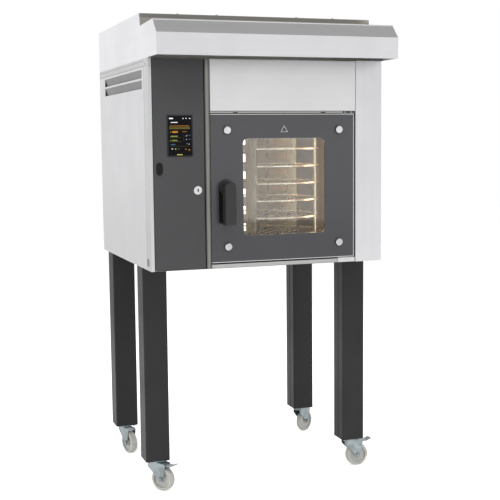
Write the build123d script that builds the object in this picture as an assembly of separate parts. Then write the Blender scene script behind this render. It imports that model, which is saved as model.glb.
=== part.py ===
from build123d import *
import math
import os

# Bakery oven with a revolving rack, on a four-legged stand with casters.
# Millimetres. X runs across the front, +Y runs from the front to the back, +Z is up.
# The pieces are laid out with x = 0 at the middle of the cabinet, y = 0 at the front
# plane of the cabinet and z = 0 on the floor. They are moved as one when they are saved.

# ---- overall sizes ----
WIDTH = 1000.0
DEPTH = 942.0
LEG_HEIGHT = 820.0
HOOD_HEIGHT = 181.0
HOOD_OVERHANG = 148.0

SHEET = 1.5             # outer stainless sheet
SEAM = 1.0              # open joint between neighbouring outer sheets
FRAME_WALL = 3.0        # angle posts of the inner frame
RUNNING_FIT = 0.05      # radial clearance of a shaft in its bore
BODY_GAP = 0.3          # gap between faces of bodies that move past each other

# ---- front layout, from the left side to the right ----
CORNER_EDGE = 14.0      # front face of the left corner post
CONTROL_WIDTH = 212.0   # control panel
POST_WIDTH = 20.0       # bright post between panel and door
COLUMN_WIDTH = 119.0    # right-hand column
CORNER_SIDE = 67.0      # side face of the corner posts
DOOR_GAP_LEFT = 2.0
DOOR_GAP_RIGHT = 8.0

# ---- front layout, from the base upwards ----
SILL_HEIGHT = 20.0
DOOR_GAP_BOTTOM = 3.0
DOOR_HEIGHT = 594.0
HEAD_HEIGHT = 12.0
FASCIA_HEIGHT = 205.0   # from the head rail to the top of the cabinet

# ---- door ----
GLASS_THICK = 6.0
INNER_GLASS_THICK = 4.7
DOOR_THICK = 44.0
DOOR_SHEET = 1.5
DOOR_INSET = 4.0        # steel pan stands back from the glass edge
WINDOW_WIDTH = 355.0
WINDOW_HEIGHT = 390.0
WINDOW_SHIFT_X = 2.0
WINDOW_SHIFT_Z = 4.0
WINDOW_MARGIN = 20.0    # window opening in the pan beyond the clear window
INNER_GLASS_LAP = 15.0
STUD_INSET_X = 69.0
STUD_INSET_Z = 64.0
STUD_RADIUS = 15.0
STUD_PROUD = 11.0
HINGE_PIN_RADIUS = 5.0
HINGE_SETBACK_X = 11.0
HINGE_SETBACK_Y = 14.0
BRACKET_LOW_REACH = 73.0    # lower hinge block, from the right edge of the glass
BRACKET_TOP_REACH = 55.0
HINGE_BLOCK_HEIGHT = 30.0
HEAD_SEAL_GAP = 2.5     # top of the glass to the head rail
SEAL_THICK = 6.0

# ---- handle ----
HANDLE_INSET = 63.0     # from the left edge of the glass to the spindle
HANDLE_HEIGHT = 303.0   # from the bottom of the glass to the spindle
HANDLE_LENGTH = 172.0
HANDLE_WIDTH = 46.0
HANDLE_THICK = 44.0
FINGER_GAP = 21.0
SPINDLE_RADIUS = 8.0
PAWL_LENGTH = 55.0
PAWL_THICK = 6.0
BUSH_RADIUS = 14.0
BUSH_END = 28.0         # inner end of the bush and the glass fixings
STUD_STEM_RADIUS = 5.8
STUD_HOLE_RADIUS = 6.0
ROSE_RADIUS = 30.0

# ---- control panel ----
PANEL_DEPTH = 20.0
PANEL_CLEAR = 3.0
PANEL_PIN_RADIUS = 3.0
PANEL_ROLL_RADIUS = 6.0
PANEL_EDGE_RADIUS = 8.0
SCREEN_WIDTH = 95.0
SCREEN_HEIGHT = 154.0
SCREEN_BORDER = 5.0
SCREEN_X = 110.0        # from the left edge of the panel to the screen centre
SCREEN_Z = 532.0        # from the base of the cabinet to the screen centre
LOCK_X = 180.0
LOCK_Z = 317.0
LOCK_RADIUS = 17.5
LOCK_BARREL_RADIUS = 13.0
LOCK_CAM = 37.5         # reach of the lock's cam
PORT_X = 25.0
PORT_Z = 403.0
PORT_WIDTH = 24.0
PORT_HEIGHT = 50.0
PORT_HINGE_RADIUS = 1.7

# ---- baking chamber ----
CHAMBER_MARGIN = 22.5   # bay side to chamber inside
CHAMBER_SHEET = 1.5
DOOR_LAP_LOW = 27.0     # bottom of the door below the chamber floor
DOOR_LAP_TOP = 24.0     # top of the door above the chamber roof
MOUTH_LIP = 20.0
FAN_SPACE = 100.0
REAR_SPACE = 206.0      # insulation and motor behind the fan space
INSULATION = 45.0

# ---- air, heat, steam and drives ----
FAN_RADIUS = 105.0
FAN_SHAFT_RADIUS = 8.0
FAN_HUB_RADIUS = 20.0
FAN_BLADES = 8
COIL_GAP = 45.0         # heating rings outside the fan
COIL_RADIUS = 5.0
COIL_COUNT = 3
COIL_PITCH = 24.0
DUCT_RADIUS = 30.0
DUCT_SHIFT_X = 190.0    # from the middle of the chamber to the steam duct
DUCT_FRONT = 156.0      # from the baffle forward to the steam duct
MOTOR_RADIUS = 55.0
MOTOR_FLANGE_RADIUS = 75.0
MOTOR_LENGTH = 115.0
GEARBOX_HALF = 55.0
GEARBOX_HEIGHT = 90.0
GEAR_SHAFT_DEPTH = 60.0
LAMP_SHIFT_X = 31.0
LAMP_MARGIN = 25.0      # lamp strip short of the chamber floor and roof
GLAND_SIDE = 120.0      # from the left side to the cable gland
WATER_SIDE = 210.0      # from the left side to the water inlet
GLAND_HEIGHT = 110.0    # above the base of the cabinet
GLAND_RADIUS = 16.0
CABLE_RADIUS = 9.0
WATER_RADIUS = 13.0
WATER_BORE = 8.5
COLLAR_THICK = 4.0
NECK_LENGTH = 1.5
FITTING_END = 26.0      # fittings stand out behind the cabinet
PLATE_GAP = 8.0         # insulation to the electrical plate
PLATE_FRONT = 140.0
PLATE_BACK = 322.0
RAIL_DEPTH = 7.0
RAIL_START = 150.0
RAIL_PITCH = 200.0

# ---- revolving rack ----
RACK_GAP = 12.0
RACK_TURN = -40.0       # rest angle of the first upright rod
SHELF_PITCH = 71.5
FIRST_SHELF = 65.0      # chamber floor to first shelf
RACK_HEADROOM = 20.0    # least space over the head disc
SHELF_RIM = 8.0
SHELF_THICK = 5.0
SHELF_BAR_PITCH = 40.0
ROD_RADIUS = 5.5
CHEEK_HALF_ANGLE = 20.0
RACK_SPINDLE_RADIUS = 12.0

# ---- hood ----
HOOD_FACE = 83.0
HOOD_SLOPE_RUN = 53.0
HOOD_SLOPE_RISE = 54.0
HOOD_STEP = 126.0       # front wall of the raised rear cover, behind the front plane
HOOD_NOTCH_RUN = 16.0
HOOD_NOTCH_DROP = 7.0
FLUE_RADIUS = 75.0
FLUE_LENGTH = 60.0
FLUE_BACK = 382.0       # from the back of the hood to the flue axis

# ---- louvres ----
LOUVRE_COUNT = 2
LOUVRE_HEIGHT = 33.0
LOUVRE_PITCH = 41.5
LOUVRE_TOP = 41.0       # below the underside of the hood
LOUVRE_START = 98.0
LOUVRE_BACK = 120.0     # from the back of the cabinet to the louvres
LOUVRE_LEAN = 9.0
SIDE_RAIL_TOP = 10.0
SIDE_RAIL_HEIGHT = 19.0

# ---- legs and casters ----
LEG_WIDTH = 102.0
LEG_DEPTH = 100.0
LEG_WALL = 3.0
LEG_RADIUS = 6.0
LEG_INSET = 2.0
LEG_FRONT = 164.0
LEG_REAR = 91.0         # from the back of the cabinet to the rear legs
WHEEL_RADIUS = 50.0
CASTER_TOP = 32.0       # from the top of the wheel to the leg
WHEEL_WIDTH = 32.0
AXLE_RADIUS = 5.0
TRAIL = 38.0
FORK_SHEET = 2.5
PLATE_SIZE = 88.0
PLATE_THICK = 3.0
PEDAL_REACH = 104.0
PEDAL_PIVOT_X = 50.0
PEDAL_PIN_RADIUS = 3.0
CROWN_THICK = 4.0
RACE_GAP = 10.0         # bolt plate to fork crown
EAR_CLEAR = 2.5         # wheel to fork cheek
KINGPIN_RADIUS = 6.0
CASTER_ANGLES = {"front_left": -48.0, "front_right": 0.0, "rear_left": -72.0, "rear_right": 34.0}
BRAKED = ("front_left", "front_right")

# ---- levels and places worked out from the sizes ----
HALF = WIDTH / 2
CASTER_HEIGHT = 2 * WHEEL_RADIUS + CASTER_TOP
CABINET_HEIGHT = SILL_HEIGHT + DOOR_GAP_BOTTOM + DOOR_HEIGHT + HEAD_HEIGHT + FASCIA_HEIGHT
BASE_Z = CASTER_HEIGHT + LEG_HEIGHT
TOP_Z = BASE_Z + CABINET_HEIGHT
HOOD_Z = TOP_Z + HOOD_HEIGHT

PANEL_X0 = -HALF + CORNER_EDGE + SEAM
PANEL_X1 = PANEL_X0 + CONTROL_WIDTH
POST_X0 = PANEL_X1 + SEAM
BAY_X0 = POST_X0 + POST_WIDTH
BAY_X1 = HALF - COLUMN_WIDTH
DOOR_X0 = BAY_X0 + DOOR_GAP_LEFT
DOOR_X1 = BAY_X1 - DOOR_GAP_RIGHT
DOOR_Z0 = BASE_Z + SILL_HEIGHT + DOOR_GAP_BOTTOM
DOOR_Z1 = DOOR_Z0 + DOOR_HEIGHT
FASCIA_Z0 = DOOR_Z1 + HEAD_HEIGHT
DOOR_CX = (DOOR_X0 + DOOR_X1) / 2
DOOR_CZ = (DOOR_Z0 + DOOR_Z1) / 2
HINGE_X = DOOR_X1 - HINGE_SETBACK_X
HINGE_Y = HINGE_SETBACK_Y
BRACKET_LOW_X0 = DOOR_X1 - BRACKET_LOW_REACH
BRACKET_TOP_X0 = DOOR_X1 - BRACKET_TOP_REACH

WINDOW_CX = DOOR_CX + WINDOW_SHIFT_X
WINDOW_CZ = DOOR_CZ + WINDOW_SHIFT_Z
HOLE_X = WINDOW_WIDTH / 2 + WINDOW_MARGIN
HOLE_Z = WINDOW_HEIGHT / 2 + WINDOW_MARGIN

HANDLE_X = DOOR_X0 + HANDLE_INSET
HANDLE_Z = DOOR_Z0 + HANDLE_HEIGHT

PANEL_Z0 = BASE_Z + PANEL_CLEAR
PANEL_Z1 = TOP_Z - PANEL_CLEAR
PANEL_PIN_X = PANEL_X0 + PANEL_ROLL_RADIUS
PANEL_PIN_Y = PANEL_ROLL_RADIUS

MOUTH_Y = DOOR_THICK + SEAL_THICK + BODY_GAP
CHAMBER_X0 = BAY_X0 + CHAMBER_MARGIN
CHAMBER_X1 = BAY_X1 - CHAMBER_MARGIN
CHAMBER_CX = (CHAMBER_X0 + CHAMBER_X1) / 2
CHAMBER_Y0 = MOUTH_Y + CHAMBER_SHEET
CHAMBER_Y1 = DEPTH - REAR_SPACE
BAFFLE_Y = CHAMBER_Y1 - FAN_SPACE
CHAMBER_Z0 = DOOR_Z0 + DOOR_LAP_LOW
CHAMBER_Z1 = DOOR_Z1 - DOOR_LAP_TOP
CHAMBER_CZ = (CHAMBER_Z0 + CHAMBER_Z1) / 2

FAN_Z = CHAMBER_CZ
DUCT_X = CHAMBER_CX + DUCT_SHIFT_X
DUCT_Y = BAFFLE_Y - DUCT_FRONT
MOTOR_Y = CHAMBER_Y1 + CHAMBER_SHEET + INSULATION
GEARMOTOR_Z = CHAMBER_Z1 + CHAMBER_SHEET + INSULATION
SPINDLE_HOLE = RACK_SPINDLE_RADIUS + 6.0
GLAND_X = -HALF + GLAND_SIDE
WATER_X = -HALF + WATER_SIDE
GLAND_Z = BASE_Z + GLAND_HEIGHT
PLATE_X = CHAMBER_X0 - CHAMBER_SHEET - INSULATION - PLATE_GAP
PLATE_Y0 = PLATE_FRONT
PLATE_Y1 = DEPTH - PLATE_BACK

RACK_X = CHAMBER_CX
RACK_RADIUS = min(CHAMBER_X1 - CHAMBER_X0, BAFFLE_Y - CHAMBER_Y0) / 2 - RACK_GAP
RACK_Y = (CHAMBER_Y0 + BAFFLE_Y) / 2
SHELF_COUNT = int((CHAMBER_Z1 - CHAMBER_Z0 - FIRST_SHELF - RACK_HEADROOM) // SHELF_PITCH)
SHELF_Z = [CHAMBER_Z0 + FIRST_SHELF + i * SHELF_PITCH for i in range(SHELF_COUNT)]
RACK_FOOT_Z = CHAMBER_Z0 + 24.0
RACK_HEAD_Z = SHELF_Z[-1] + SHELF_PITCH

FLUE_Y = DEPTH - FLUE_BACK
LOUVRE_END = DEPTH - LOUVRE_BACK
LEG_X = HALF - LEG_INSET - LEG_WIDTH / 2
CROWN_Z1 = CASTER_HEIGHT - PLATE_THICK - RACE_GAP
CROWN_Z0 = CROWN_Z1 - CROWN_THICK
EAR_GAP = WHEEL_WIDTH / 2 + EAR_CLEAR
PEDAL_PIVOT_Z = CROWN_Z0 - 6.0
LEG_Y = {"front": LEG_FRONT + LEG_DEPTH / 2, "rear": DEPTH - LEG_REAR - LEG_DEPTH / 2}


# ---------------------------------------------------------------- shape helpers
def block(x0, x1, y0, y1, z0, z1):
    """Solid between two corners."""
    return Pos((x0 + x1) / 2, (y0 + y1) / 2, (z0 + z1) / 2) * Box(x1 - x0, y1 - y0, z1 - z0)


def rod_z(x, y, z0, z1, radius):
    """Upright cylinder."""
    return Pos(x, y, (z0 + z1) / 2) * Cylinder(radius, z1 - z0)


def rod_y(x, z, y0, y1, radius):
    """Cylinder that runs from front to back."""
    return Pos(x, (y0 + y1) / 2, z) * Rot(90, 0, 0) * Cylinder(radius, y1 - y0)


def tube_z(x, y, z0, z1, outer, inner):
    """Upright tube."""
    return rod_z(x, y, z0, z1, outer) - rod_z(x, y, z0, z1, inner)


def tray(x0, x1, y0, y1, z0, z1, wall):
    """Pan with a floor at y1 and open at y0."""
    return block(x0, x1, y0, y1, z0, z1) - block(x0 + wall, x1 - wall, y0, y1 - wall, z0 + wall, z1 - wall)


def side_plate(x0, x1, points):
    """Plate across x with an outline given as (y, z) points."""
    outline = Plane.YZ * make_face(Polyline(*[(y, z) for y, z in points], close=True))
    return Pos(x0, 0, 0) * extrude(outline, x1 - x0)


def group(shapes):
    """Several separate solids kept in one node."""
    solids = []
    for shape in shapes:
        solids.extend(shape.solids())
    return Compound(solids)


def round_edges(shape, axis, radius):
    """Round every edge that runs along one axis."""
    return fillet(shape.edges().filter_by(axis), radius)


# ---------------------------------------------------------------- cabinet shell
def base_pan():
    """Bottom tray of the cabinet, with an upstand all round."""
    upstand = 30.0
    inner = block(-HALF + 2 * SHEET, HALF - 2 * SHEET, 2 + SHEET, DEPTH - 2 * SHEET,
                  BASE_Z + SHEET, BASE_Z + upstand)
    body = block(-HALF + SHEET, HALF - SHEET, 2, DEPTH - SHEET, BASE_Z, BASE_Z + upstand) - inner
    body -= block(-HALF, HALF, 0, 60, BASE_Z + SHEET, BASE_Z + upstand + 1)
    return body


def inner_frame():
    """Four angle posts joined by a rail on each side under the roof."""
    reach = 30.0
    z0 = BASE_Z + SHEET
    z1 = TOP_Z - SHEET
    parts = None
    for side in (-1, 1):
        for y0, foot in ((CORNER_SIDE - 42.0, 0.0), (DEPTH - SHEET - 34.0, 1.0)):
            web = block(0, FRAME_WALL, y0, y0 + reach, z0, z1)
            flange_y = y0 if foot else y0 + reach - FRAME_WALL
            web += block(0, reach, flange_y, flange_y + FRAME_WALL, z0, z1)
            placed = Pos(-HALF + 2 * SHEET, 0, 0) * web
            placed = placed if side < 0 else mirror(placed, Plane.YZ)
            parts = placed if parts is None else parts + placed
        rail = block(-HALF + 2 * SHEET, -HALF + 2 * SHEET + FRAME_WALL, CORNER_SIDE - 42.0,
                     DEPTH - SHEET - 4.0, TOP_Z - SHEET - 26.0, TOP_Z - SHEET)
        parts += rail if side < 0 else mirror(rail, Plane.YZ)
    cross = block(-HALF + 2 * SHEET, HALF - 2 * SHEET, DEPTH - SHEET - 4.0 - FRAME_WALL,
                  DEPTH - SHEET - 4.0, TOP_Z - SHEET - 26.0, TOP_Z - SHEET)
    return parts + cross


def louvre_z(index):
    """Top edge of one louvre."""
    return TOP_Z - LOUVRE_TOP - index * LOUVRE_PITCH


def side_panel(side):
    """Outer side sheet; the left one has the louvre openings."""
    sheet = block(-HALF, -HALF + SHEET, CORNER_SIDE + SEAM, DEPTH,
                  BASE_Z, TOP_Z - SIDE_RAIL_TOP - SIDE_RAIL_HEIGHT - SEAM)
    hem = block(-HALF + SHEET, -HALF + 2 * SHEET, CORNER_SIDE + SEAM, CORNER_SIDE + 14.0,
                BASE_Z + 40.0, TOP_Z - 40.0)
    sheet += hem
    if side > 0:
        return mirror(sheet, Plane.YZ)
    for i in range(LOUVRE_COUNT):
        top = louvre_z(i)
        sheet -= block(-HALF - 1, -HALF + 3 * SHEET, LOUVRE_START, LOUVRE_END, top - LOUVRE_HEIGHT, top)
    return sheet


def louvre_slats():
    """Sheets that lean inward behind the louvre openings, closed at their ends."""
    slats = []
    for i in range(LOUVRE_COUNT):
        top = louvre_z(i)
        drop = LOUVRE_HEIGHT + 6.0
        lean = LOUVRE_LEAN
        x = -HALF + SHEET
        outline = Polyline((x, top), (x + lean, top - drop), (x + lean + SHEET, top - drop),
                           (x + SHEET, top), close=True)
        slat = extrude(make_face(Plane.XZ * outline), LOUVRE_END - LOUVRE_START, dir=(0, 1, 0))
        slats.append(Pos(0, LOUVRE_START, 0) * slat)
    return group(slats)


def side_rails():
    """Bright rail on each side between the side sheet and the roof."""
    z1 = TOP_Z - SIDE_RAIL_TOP
    rail = block(-HALF, -HALF + SHEET, CORNER_SIDE + SEAM, DEPTH, z1 - SIDE_RAIL_HEIGHT, z1)
    return group([rail, mirror(rail, Plane.YZ)])


def corner_post():
    """Left front corner: a side face, a narrow front face and a short return."""
    body = block(-HALF, -HALF + CORNER_EDGE, 0, CORNER_SIDE, BASE_Z, TOP_Z)
    body = fillet(body.edges().filter_by(Axis.Z).sort_by(Axis.X)[:2].sort_by(Axis.Y)[:1], 2.0)
    body -= block(-HALF + SHEET, -HALF + CORNER_EDGE - SHEET, SHEET, CORNER_SIDE + 1, BASE_Z - 1, TOP_Z + 1)
    body -= block(-HALF + 2 * SHEET, -HALF + CORNER_EDGE + 1, 16.0, CORNER_SIDE + 1, BASE_Z - 1, TOP_Z + 1)
    x1 = -HALF + CORNER_EDGE + 1
    return body - block(-HALF + SHEET, x1, SHEET, CORNER_SIDE + 1, BASE_Z - 1, BASE_Z + SHEET)


def front_column():
    """Right front column: a wide front face with a return on each side."""
    body = block(BAY_X1, HALF, 0, CORNER_SIDE, BASE_Z, TOP_Z)
    front = body.edges().filter_by(Axis.Z).sort_by(Axis.Y)[:2]
    body = fillet(front, 2.5)
    body -= block(BAY_X1 + SHEET, HALF - SHEET, SHEET, CORNER_SIDE + 1, BASE_Z - 1, TOP_Z + 1)
    body -= block(BAY_X1 - 1, HALF - 2 * SHEET, 42.0, CORNER_SIDE + 1, BASE_Z - 1, TOP_Z + 1)
    return body - block(BAY_X1 - 1, HALF - SHEET, SHEET, CORNER_SIDE + 1, BASE_Z - 1, BASE_Z + SHEET)


def rear_panel():
    """Back sheet with two rows of air slots and holes for cable and water."""
    sheet = block(-HALF + SHEET, HALF - SHEET, DEPTH - SHEET, DEPTH, BASE_Z, TOP_Z - SIDE_RAIL_TOP)
    for row in range(2):
        for i in range(8):
            x = -210.0 + i * 60.0
            z = BASE_Z + 250.0 + row * 330.0
            sheet -= block(x - 4, x + 4, DEPTH - 2 * SHEET, DEPTH + 1, z - 45, z + 45)
    sheet -= rod_y(GLAND_X, GLAND_Z, DEPTH - 5, DEPTH + 5, GLAND_RADIUS + RUNNING_FIT)
    sheet -= rod_y(WATER_X, GLAND_Z, DEPTH - 5, DEPTH + 5, WATER_RADIUS)
    return sheet


def roof_panel():
    """Sheet under the hood with short flanges on three sides and a hole for the steam duct."""
    body = block(-HALF, HALF, 0, DEPTH, TOP_Z - SIDE_RAIL_TOP + SEAM, TOP_Z)
    body -= block(-HALF + SHEET, HALF - SHEET, -1, DEPTH - SHEET, TOP_Z - SIDE_RAIL_TOP, TOP_Z - SHEET)
    body -= block(-HALF - 1, HALF + 1, -1, CORNER_SIDE + SEAM, TOP_Z - SIDE_RAIL_TOP, TOP_Z - SHEET)
    body -= block(-HALF - 1, HALF + 1, -1, 46.0, TOP_Z - 2 * SHEET, TOP_Z + 1)
    corner = block(-HALF - 1, -HALF + CORNER_EDGE + 1, -1, CORNER_SIDE + SEAM, TOP_Z - 20, TOP_Z + 1)
    body -= corner
    body -= block(HALF - COLUMN_WIDTH - 1, HALF + 1, -1, CORNER_SIDE + SEAM, TOP_Z - 20, TOP_Z + 1)
    body -= rod_z(DUCT_X, DUCT_Y, TOP_Z - 20, TOP_Z + 1, DUCT_RADIUS + 0.5)
    return body


def centre_post():
    """Bright post: front face, a short left flange for the lock and a deep right flange."""
    body = block(POST_X0, BAY_X0, 0, 45.0, BASE_Z + SHEET, TOP_Z - SHEET)
    front = body.edges().filter_by(Axis.Z).sort_by(Axis.Y)[:2]
    body = fillet(front, 2.0)
    body -= block(POST_X0 + SHEET, BAY_X0 - SHEET, SHEET, 46.0, BASE_Z, TOP_Z)
    body -= block(POST_X0 - 1, BAY_X0 - SHEET, 16.0, 46.0, BASE_Z, TOP_Z)
    return body


def fascia():
    """Bright cover above the door, bent back on all four sides."""
    body = block(DOOR_X0, BAY_X1 - SEAM, 0, 22.0, FASCIA_Z0, TOP_Z - SHEET)
    rim = body.faces().sort_by(Axis.Y)[0].edges()
    body = fillet(rim, 3.0)
    cavity = block(DOOR_X0 + SHEET, BAY_X1 - SEAM - SHEET, SHEET, 23.0,
                   FASCIA_Z0 + SHEET, TOP_Z - 2 * SHEET)
    return body - cavity


def door_surround():
    """Head rail over the door and sill under it."""
    head = block(DOOR_X0, BRACKET_TOP_X0 - SEAM, 3.0, 44.0, DOOR_Z1 + HEAD_SEAL_GAP, FASCIA_Z0 - SEAM)
    sill = block(DOOR_X0, BRACKET_LOW_X0 - SEAM, 1.0, 44.0, BASE_Z + SHEET, DOOR_Z0 - DOOR_GAP_BOTTOM)
    pieces = []
    for bar in (head, sill):
        front = bar.faces().sort_by(Axis.Y)[0].edges()
        pieces.append(fillet(front, 1.2))
    return group(pieces)


def hinge_brackets():
    """Steel blocks that hold the door pins, and the pins that hold the control panel."""
    bore_low = rod_z(HINGE_X, HINGE_Y, BASE_Z, DOOR_Z0, HINGE_PIN_RADIUS + RUNNING_FIT)
    low = block(BRACKET_LOW_X0, BAY_X1 - 2.0, 1.0, 40.0, BASE_Z + SHEET, DOOR_Z0 - DOOR_GAP_BOTTOM)
    low = fillet(low.edges().filter_by(Axis.Z), 3.0) - bore_low
    bore_top = rod_z(HINGE_X, HINGE_Y, DOOR_Z1, FASCIA_Z0, HINGE_PIN_RADIUS + RUNNING_FIT)
    top = block(BRACKET_TOP_X0, BAY_X1 - 2.0, 3.0, 40.0, DOOR_Z1 + HEAD_SEAL_GAP, FASCIA_Z0 - SEAM)
    top = fillet(top.edges().filter_by(Axis.Z), 3.0) - bore_top
    pin = rod_z(PANEL_PIN_X, PANEL_PIN_Y, BASE_Z + SHEET, PANEL_Z0 + 12.0, PANEL_PIN_RADIUS)
    pin_top = rod_z(PANEL_PIN_X, PANEL_PIN_Y, PANEL_Z1 - 12.0, TOP_Z - SHEET, PANEL_PIN_RADIUS)
    return group([low, top, pin, pin_top])


def latch_catch():
    """Spring roller in the post that holds the door shut."""
    case = block(BAY_X0 - SHEET - 12.0, BAY_X0 - SHEET, 17.0, 33.0, HANDLE_Z - 20, HANDLE_Z + 20)
    roller = rod_z(BAY_X0, 25.0, HANDLE_Z - 12, HANDLE_Z + 12, 5.0)
    nose = roller & block(BAY_X0, BAY_X0 + 10, 10, 40, HANDLE_Z - 20, HANDLE_Z + 20)
    return group([case, nose])


# ---------------------------------------------------------------- chamber
def chamber_box(x_out, y0, y1, z_out):
    """Block around the chamber, larger by the given amounts."""
    return block(CHAMBER_X0 - x_out, CHAMBER_X1 + x_out, y0, y1, CHAMBER_Z0 - z_out, CHAMBER_Z1 + z_out)


def shaft_holes(shape):
    """Cut the ways for the rack spindle, the fan shaft and the steam duct."""
    shape -= rod_z(RACK_X, RACK_Y, CHAMBER_Z1 - 5, TOP_Z, SPINDLE_HOLE)
    shape -= rod_y(CHAMBER_CX, FAN_Z, CHAMBER_Y1 - 5, DEPTH - 5, FAN_SHAFT_RADIUS + 4.0)
    shape -= rod_z(DUCT_X, DUCT_Y, CHAMBER_Z1 - 5, TOP_Z, DUCT_RADIUS)
    return shape


def chamber_liner():
    """Stainless baking chamber with a lipped mouth at the front."""
    body = chamber_box(CHAMBER_SHEET, MOUTH_Y, CHAMBER_Y1 + CHAMBER_SHEET, CHAMBER_SHEET)
    body -= chamber_box(0, CHAMBER_Y0, CHAMBER_Y1, 0)
    body -= chamber_box(-MOUTH_LIP, MOUTH_Y - 1, CHAMBER_Y0 + 1, -5.0)
    return shaft_holes(body)


def insulation():
    """Mineral wool jacket round the chamber."""
    inner = CHAMBER_SHEET
    outer = CHAMBER_SHEET + INSULATION
    y1 = CHAMBER_Y1 + CHAMBER_SHEET
    body = chamber_box(outer, MOUTH_Y, y1 + INSULATION, outer)
    body -= chamber_box(inner, MOUTH_Y - 1, y1, inner)
    return shaft_holes(body)


def door_seal():
    """Silicone seal on the chamber lip."""
    y0 = MOUTH_Y - SEAL_THICK
    body = chamber_box(-6.0, y0, MOUTH_Y, 6.0)
    return body - chamber_box(-MOUTH_LIP + 2.0, y0 - 1, MOUTH_Y + 1, -3.0)


def air_baffle():
    """Inner back wall with upright air slots and the intake of the fan."""
    thick = CHAMBER_SHEET
    y0 = BAFFLE_Y
    body = chamber_box(0, y0, y0 + thick, 0)
    body -= rod_y(CHAMBER_CX, FAN_Z, y0 - 1, y0 + 5, FAN_RADIUS * 0.7)
    slot_count = 6
    slot_space = (CHAMBER_X1 - CHAMBER_X0 - 60.0) / (slot_count - 1)
    for i in range(slot_count):
        x = CHAMBER_X0 + 30.0 + i * slot_space
        for row in range(SHELF_COUNT):
            z = SHELF_Z[row] + SHELF_PITCH / 2
            if math.hypot(x - CHAMBER_CX, z - FAN_Z) > FAN_RADIUS + 20.0:
                body -= block(x - 5, x + 5, y0 - 1, y0 + 5, z - 24, z + 24)
    return body


def heater_coils():
    """Three tubular heating rings round the fan, with their straight tails."""
    coils = []
    reach = FAN_RADIUS + COIL_GAP
    for i in range(COIL_COUNT):
        y = BAFFLE_Y + 28.0 + i * COIL_PITCH
        ring = Pos(CHAMBER_CX, y, FAN_Z) * Rot(90, 0, 0) * Torus(reach, COIL_RADIUS)
        tail = rod_y(CHAMBER_CX + reach, FAN_Z, y, CHAMBER_Y1, COIL_RADIUS)
        coils.append(ring if i < COIL_COUNT - 1 else ring + tail)
    return group(coils)


def fan_wheel():
    """Radial fan: back disc, hub, shaft and straight blades."""
    y0 = BAFFLE_Y + 20.0
    y1 = CHAMBER_Y1 - 22.0
    body = rod_y(CHAMBER_CX, FAN_Z, y1 - 3.0, y1, FAN_RADIUS)
    body += rod_y(CHAMBER_CX, FAN_Z, y0, y1, FAN_HUB_RADIUS)
    body += rod_y(CHAMBER_CX, FAN_Z, y1, MOTOR_Y + 40.0, FAN_SHAFT_RADIUS)
    blade = block(40.0, FAN_RADIUS - 3.0, y0, y1, -1.5, 1.5)
    blade += block(15.0, 45.0, y1 - 20.0, y1, -1.5, 1.5)
    for i in range(FAN_BLADES):
        body += Pos(CHAMBER_CX, 0, FAN_Z) * Rot(0, i * 360.0 / FAN_BLADES, 0) * blade
    return body


def fan_motor():
    """Motor behind the insulation, with a flange, cooling ribs and the bore for the fan shaft."""
    body = rod_y(CHAMBER_CX, FAN_Z, MOTOR_Y, MOTOR_Y + MOTOR_LENGTH, MOTOR_RADIUS)
    body += rod_y(CHAMBER_CX, FAN_Z, MOTOR_Y, MOTOR_Y + 8.0, MOTOR_FLANGE_RADIUS)
    for i in range(12):
        y1 = MOTOR_Y + MOTOR_LENGTH - 15.0
        rib = block(MOTOR_RADIUS - 5.0, MOTOR_RADIUS + 7.0, MOTOR_Y + 14.0, y1, -2.0, 2.0)
        body += Pos(CHAMBER_CX, 0, FAN_Z) * Rot(0, i * 30.0, 0) * rib
    return body - rod_y(CHAMBER_CX, FAN_Z, MOTOR_Y - 1, MOTOR_Y + 60.0, FAN_SHAFT_RADIUS + RUNNING_FIT)


def rack_gearmotor():
    """Worm gearmotor over the chamber that turns the rack."""
    half = GEARBOX_HALF
    z1 = GEARMOTOR_Z + GEARBOX_HEIGHT
    body = block(RACK_X - half, RACK_X + half, RACK_Y - half, RACK_Y + half, GEARMOTOR_Z, z1)
    body = round_edges(body, Axis.Z, 10.0)
    body += rod_y(RACK_X, GEARMOTOR_Z + GEARBOX_HEIGHT / 2, RACK_Y + half - 5.0, RACK_Y + 200.0, 38.0)
    bore_z1 = GEARMOTOR_Z + GEAR_SHAFT_DEPTH
    return body - rod_z(RACK_X, RACK_Y, GEARMOTOR_Z - 1, bore_z1, RACK_SPINDLE_RADIUS + RUNNING_FIT)


def rack_bearing():
    """Floor bearing of the rack."""
    z0 = CHAMBER_Z0
    body = rod_z(RACK_X, RACK_Y, z0, z0 + 6.0, 34.0) + rod_z(RACK_X, RACK_Y, z0, z0 + 16.0, 20.0)
    return body - rod_z(RACK_X, RACK_Y, z0 + 3.0, z0 + 20.0, 10.0 + RUNNING_FIT)


def chamber_lamp():
    """Upright lamp strip in front of the air baffle: a steel back and a long lens."""
    x = CHAMBER_CX + LAMP_SHIFT_X
    z0 = CHAMBER_Z0 + LAMP_MARGIN
    z1 = CHAMBER_Z1 - LAMP_MARGIN
    back = block(x - 16, x + 16, BAFFLE_Y - 4.0, BAFFLE_Y, z0, z1)
    lens = block(x - 12, x + 12, BAFFLE_Y - 10.0, BAFFLE_Y - 4.0, z0 + 10.0, z1 - 10.0)
    return group([back, fillet(lens.faces().sort_by(Axis.Y)[0].edges().filter_by(Axis.Z), 4.0)])


def steam_duct():
    """Pipe from the chamber roof to the hood, with a damper collar."""
    z0 = CHAMBER_Z1 + CHAMBER_SHEET
    body = tube_z(DUCT_X, DUCT_Y, CHAMBER_Z1, TOP_Z + 20.0, DUCT_RADIUS, DUCT_RADIUS - 1.5)
    collar_z = z0 + INSULATION + 30.0
    return body + tube_z(DUCT_X, DUCT_Y, collar_z, collar_z + 40.0, DUCT_RADIUS + 8.0, DUCT_RADIUS - 1.5)


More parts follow.
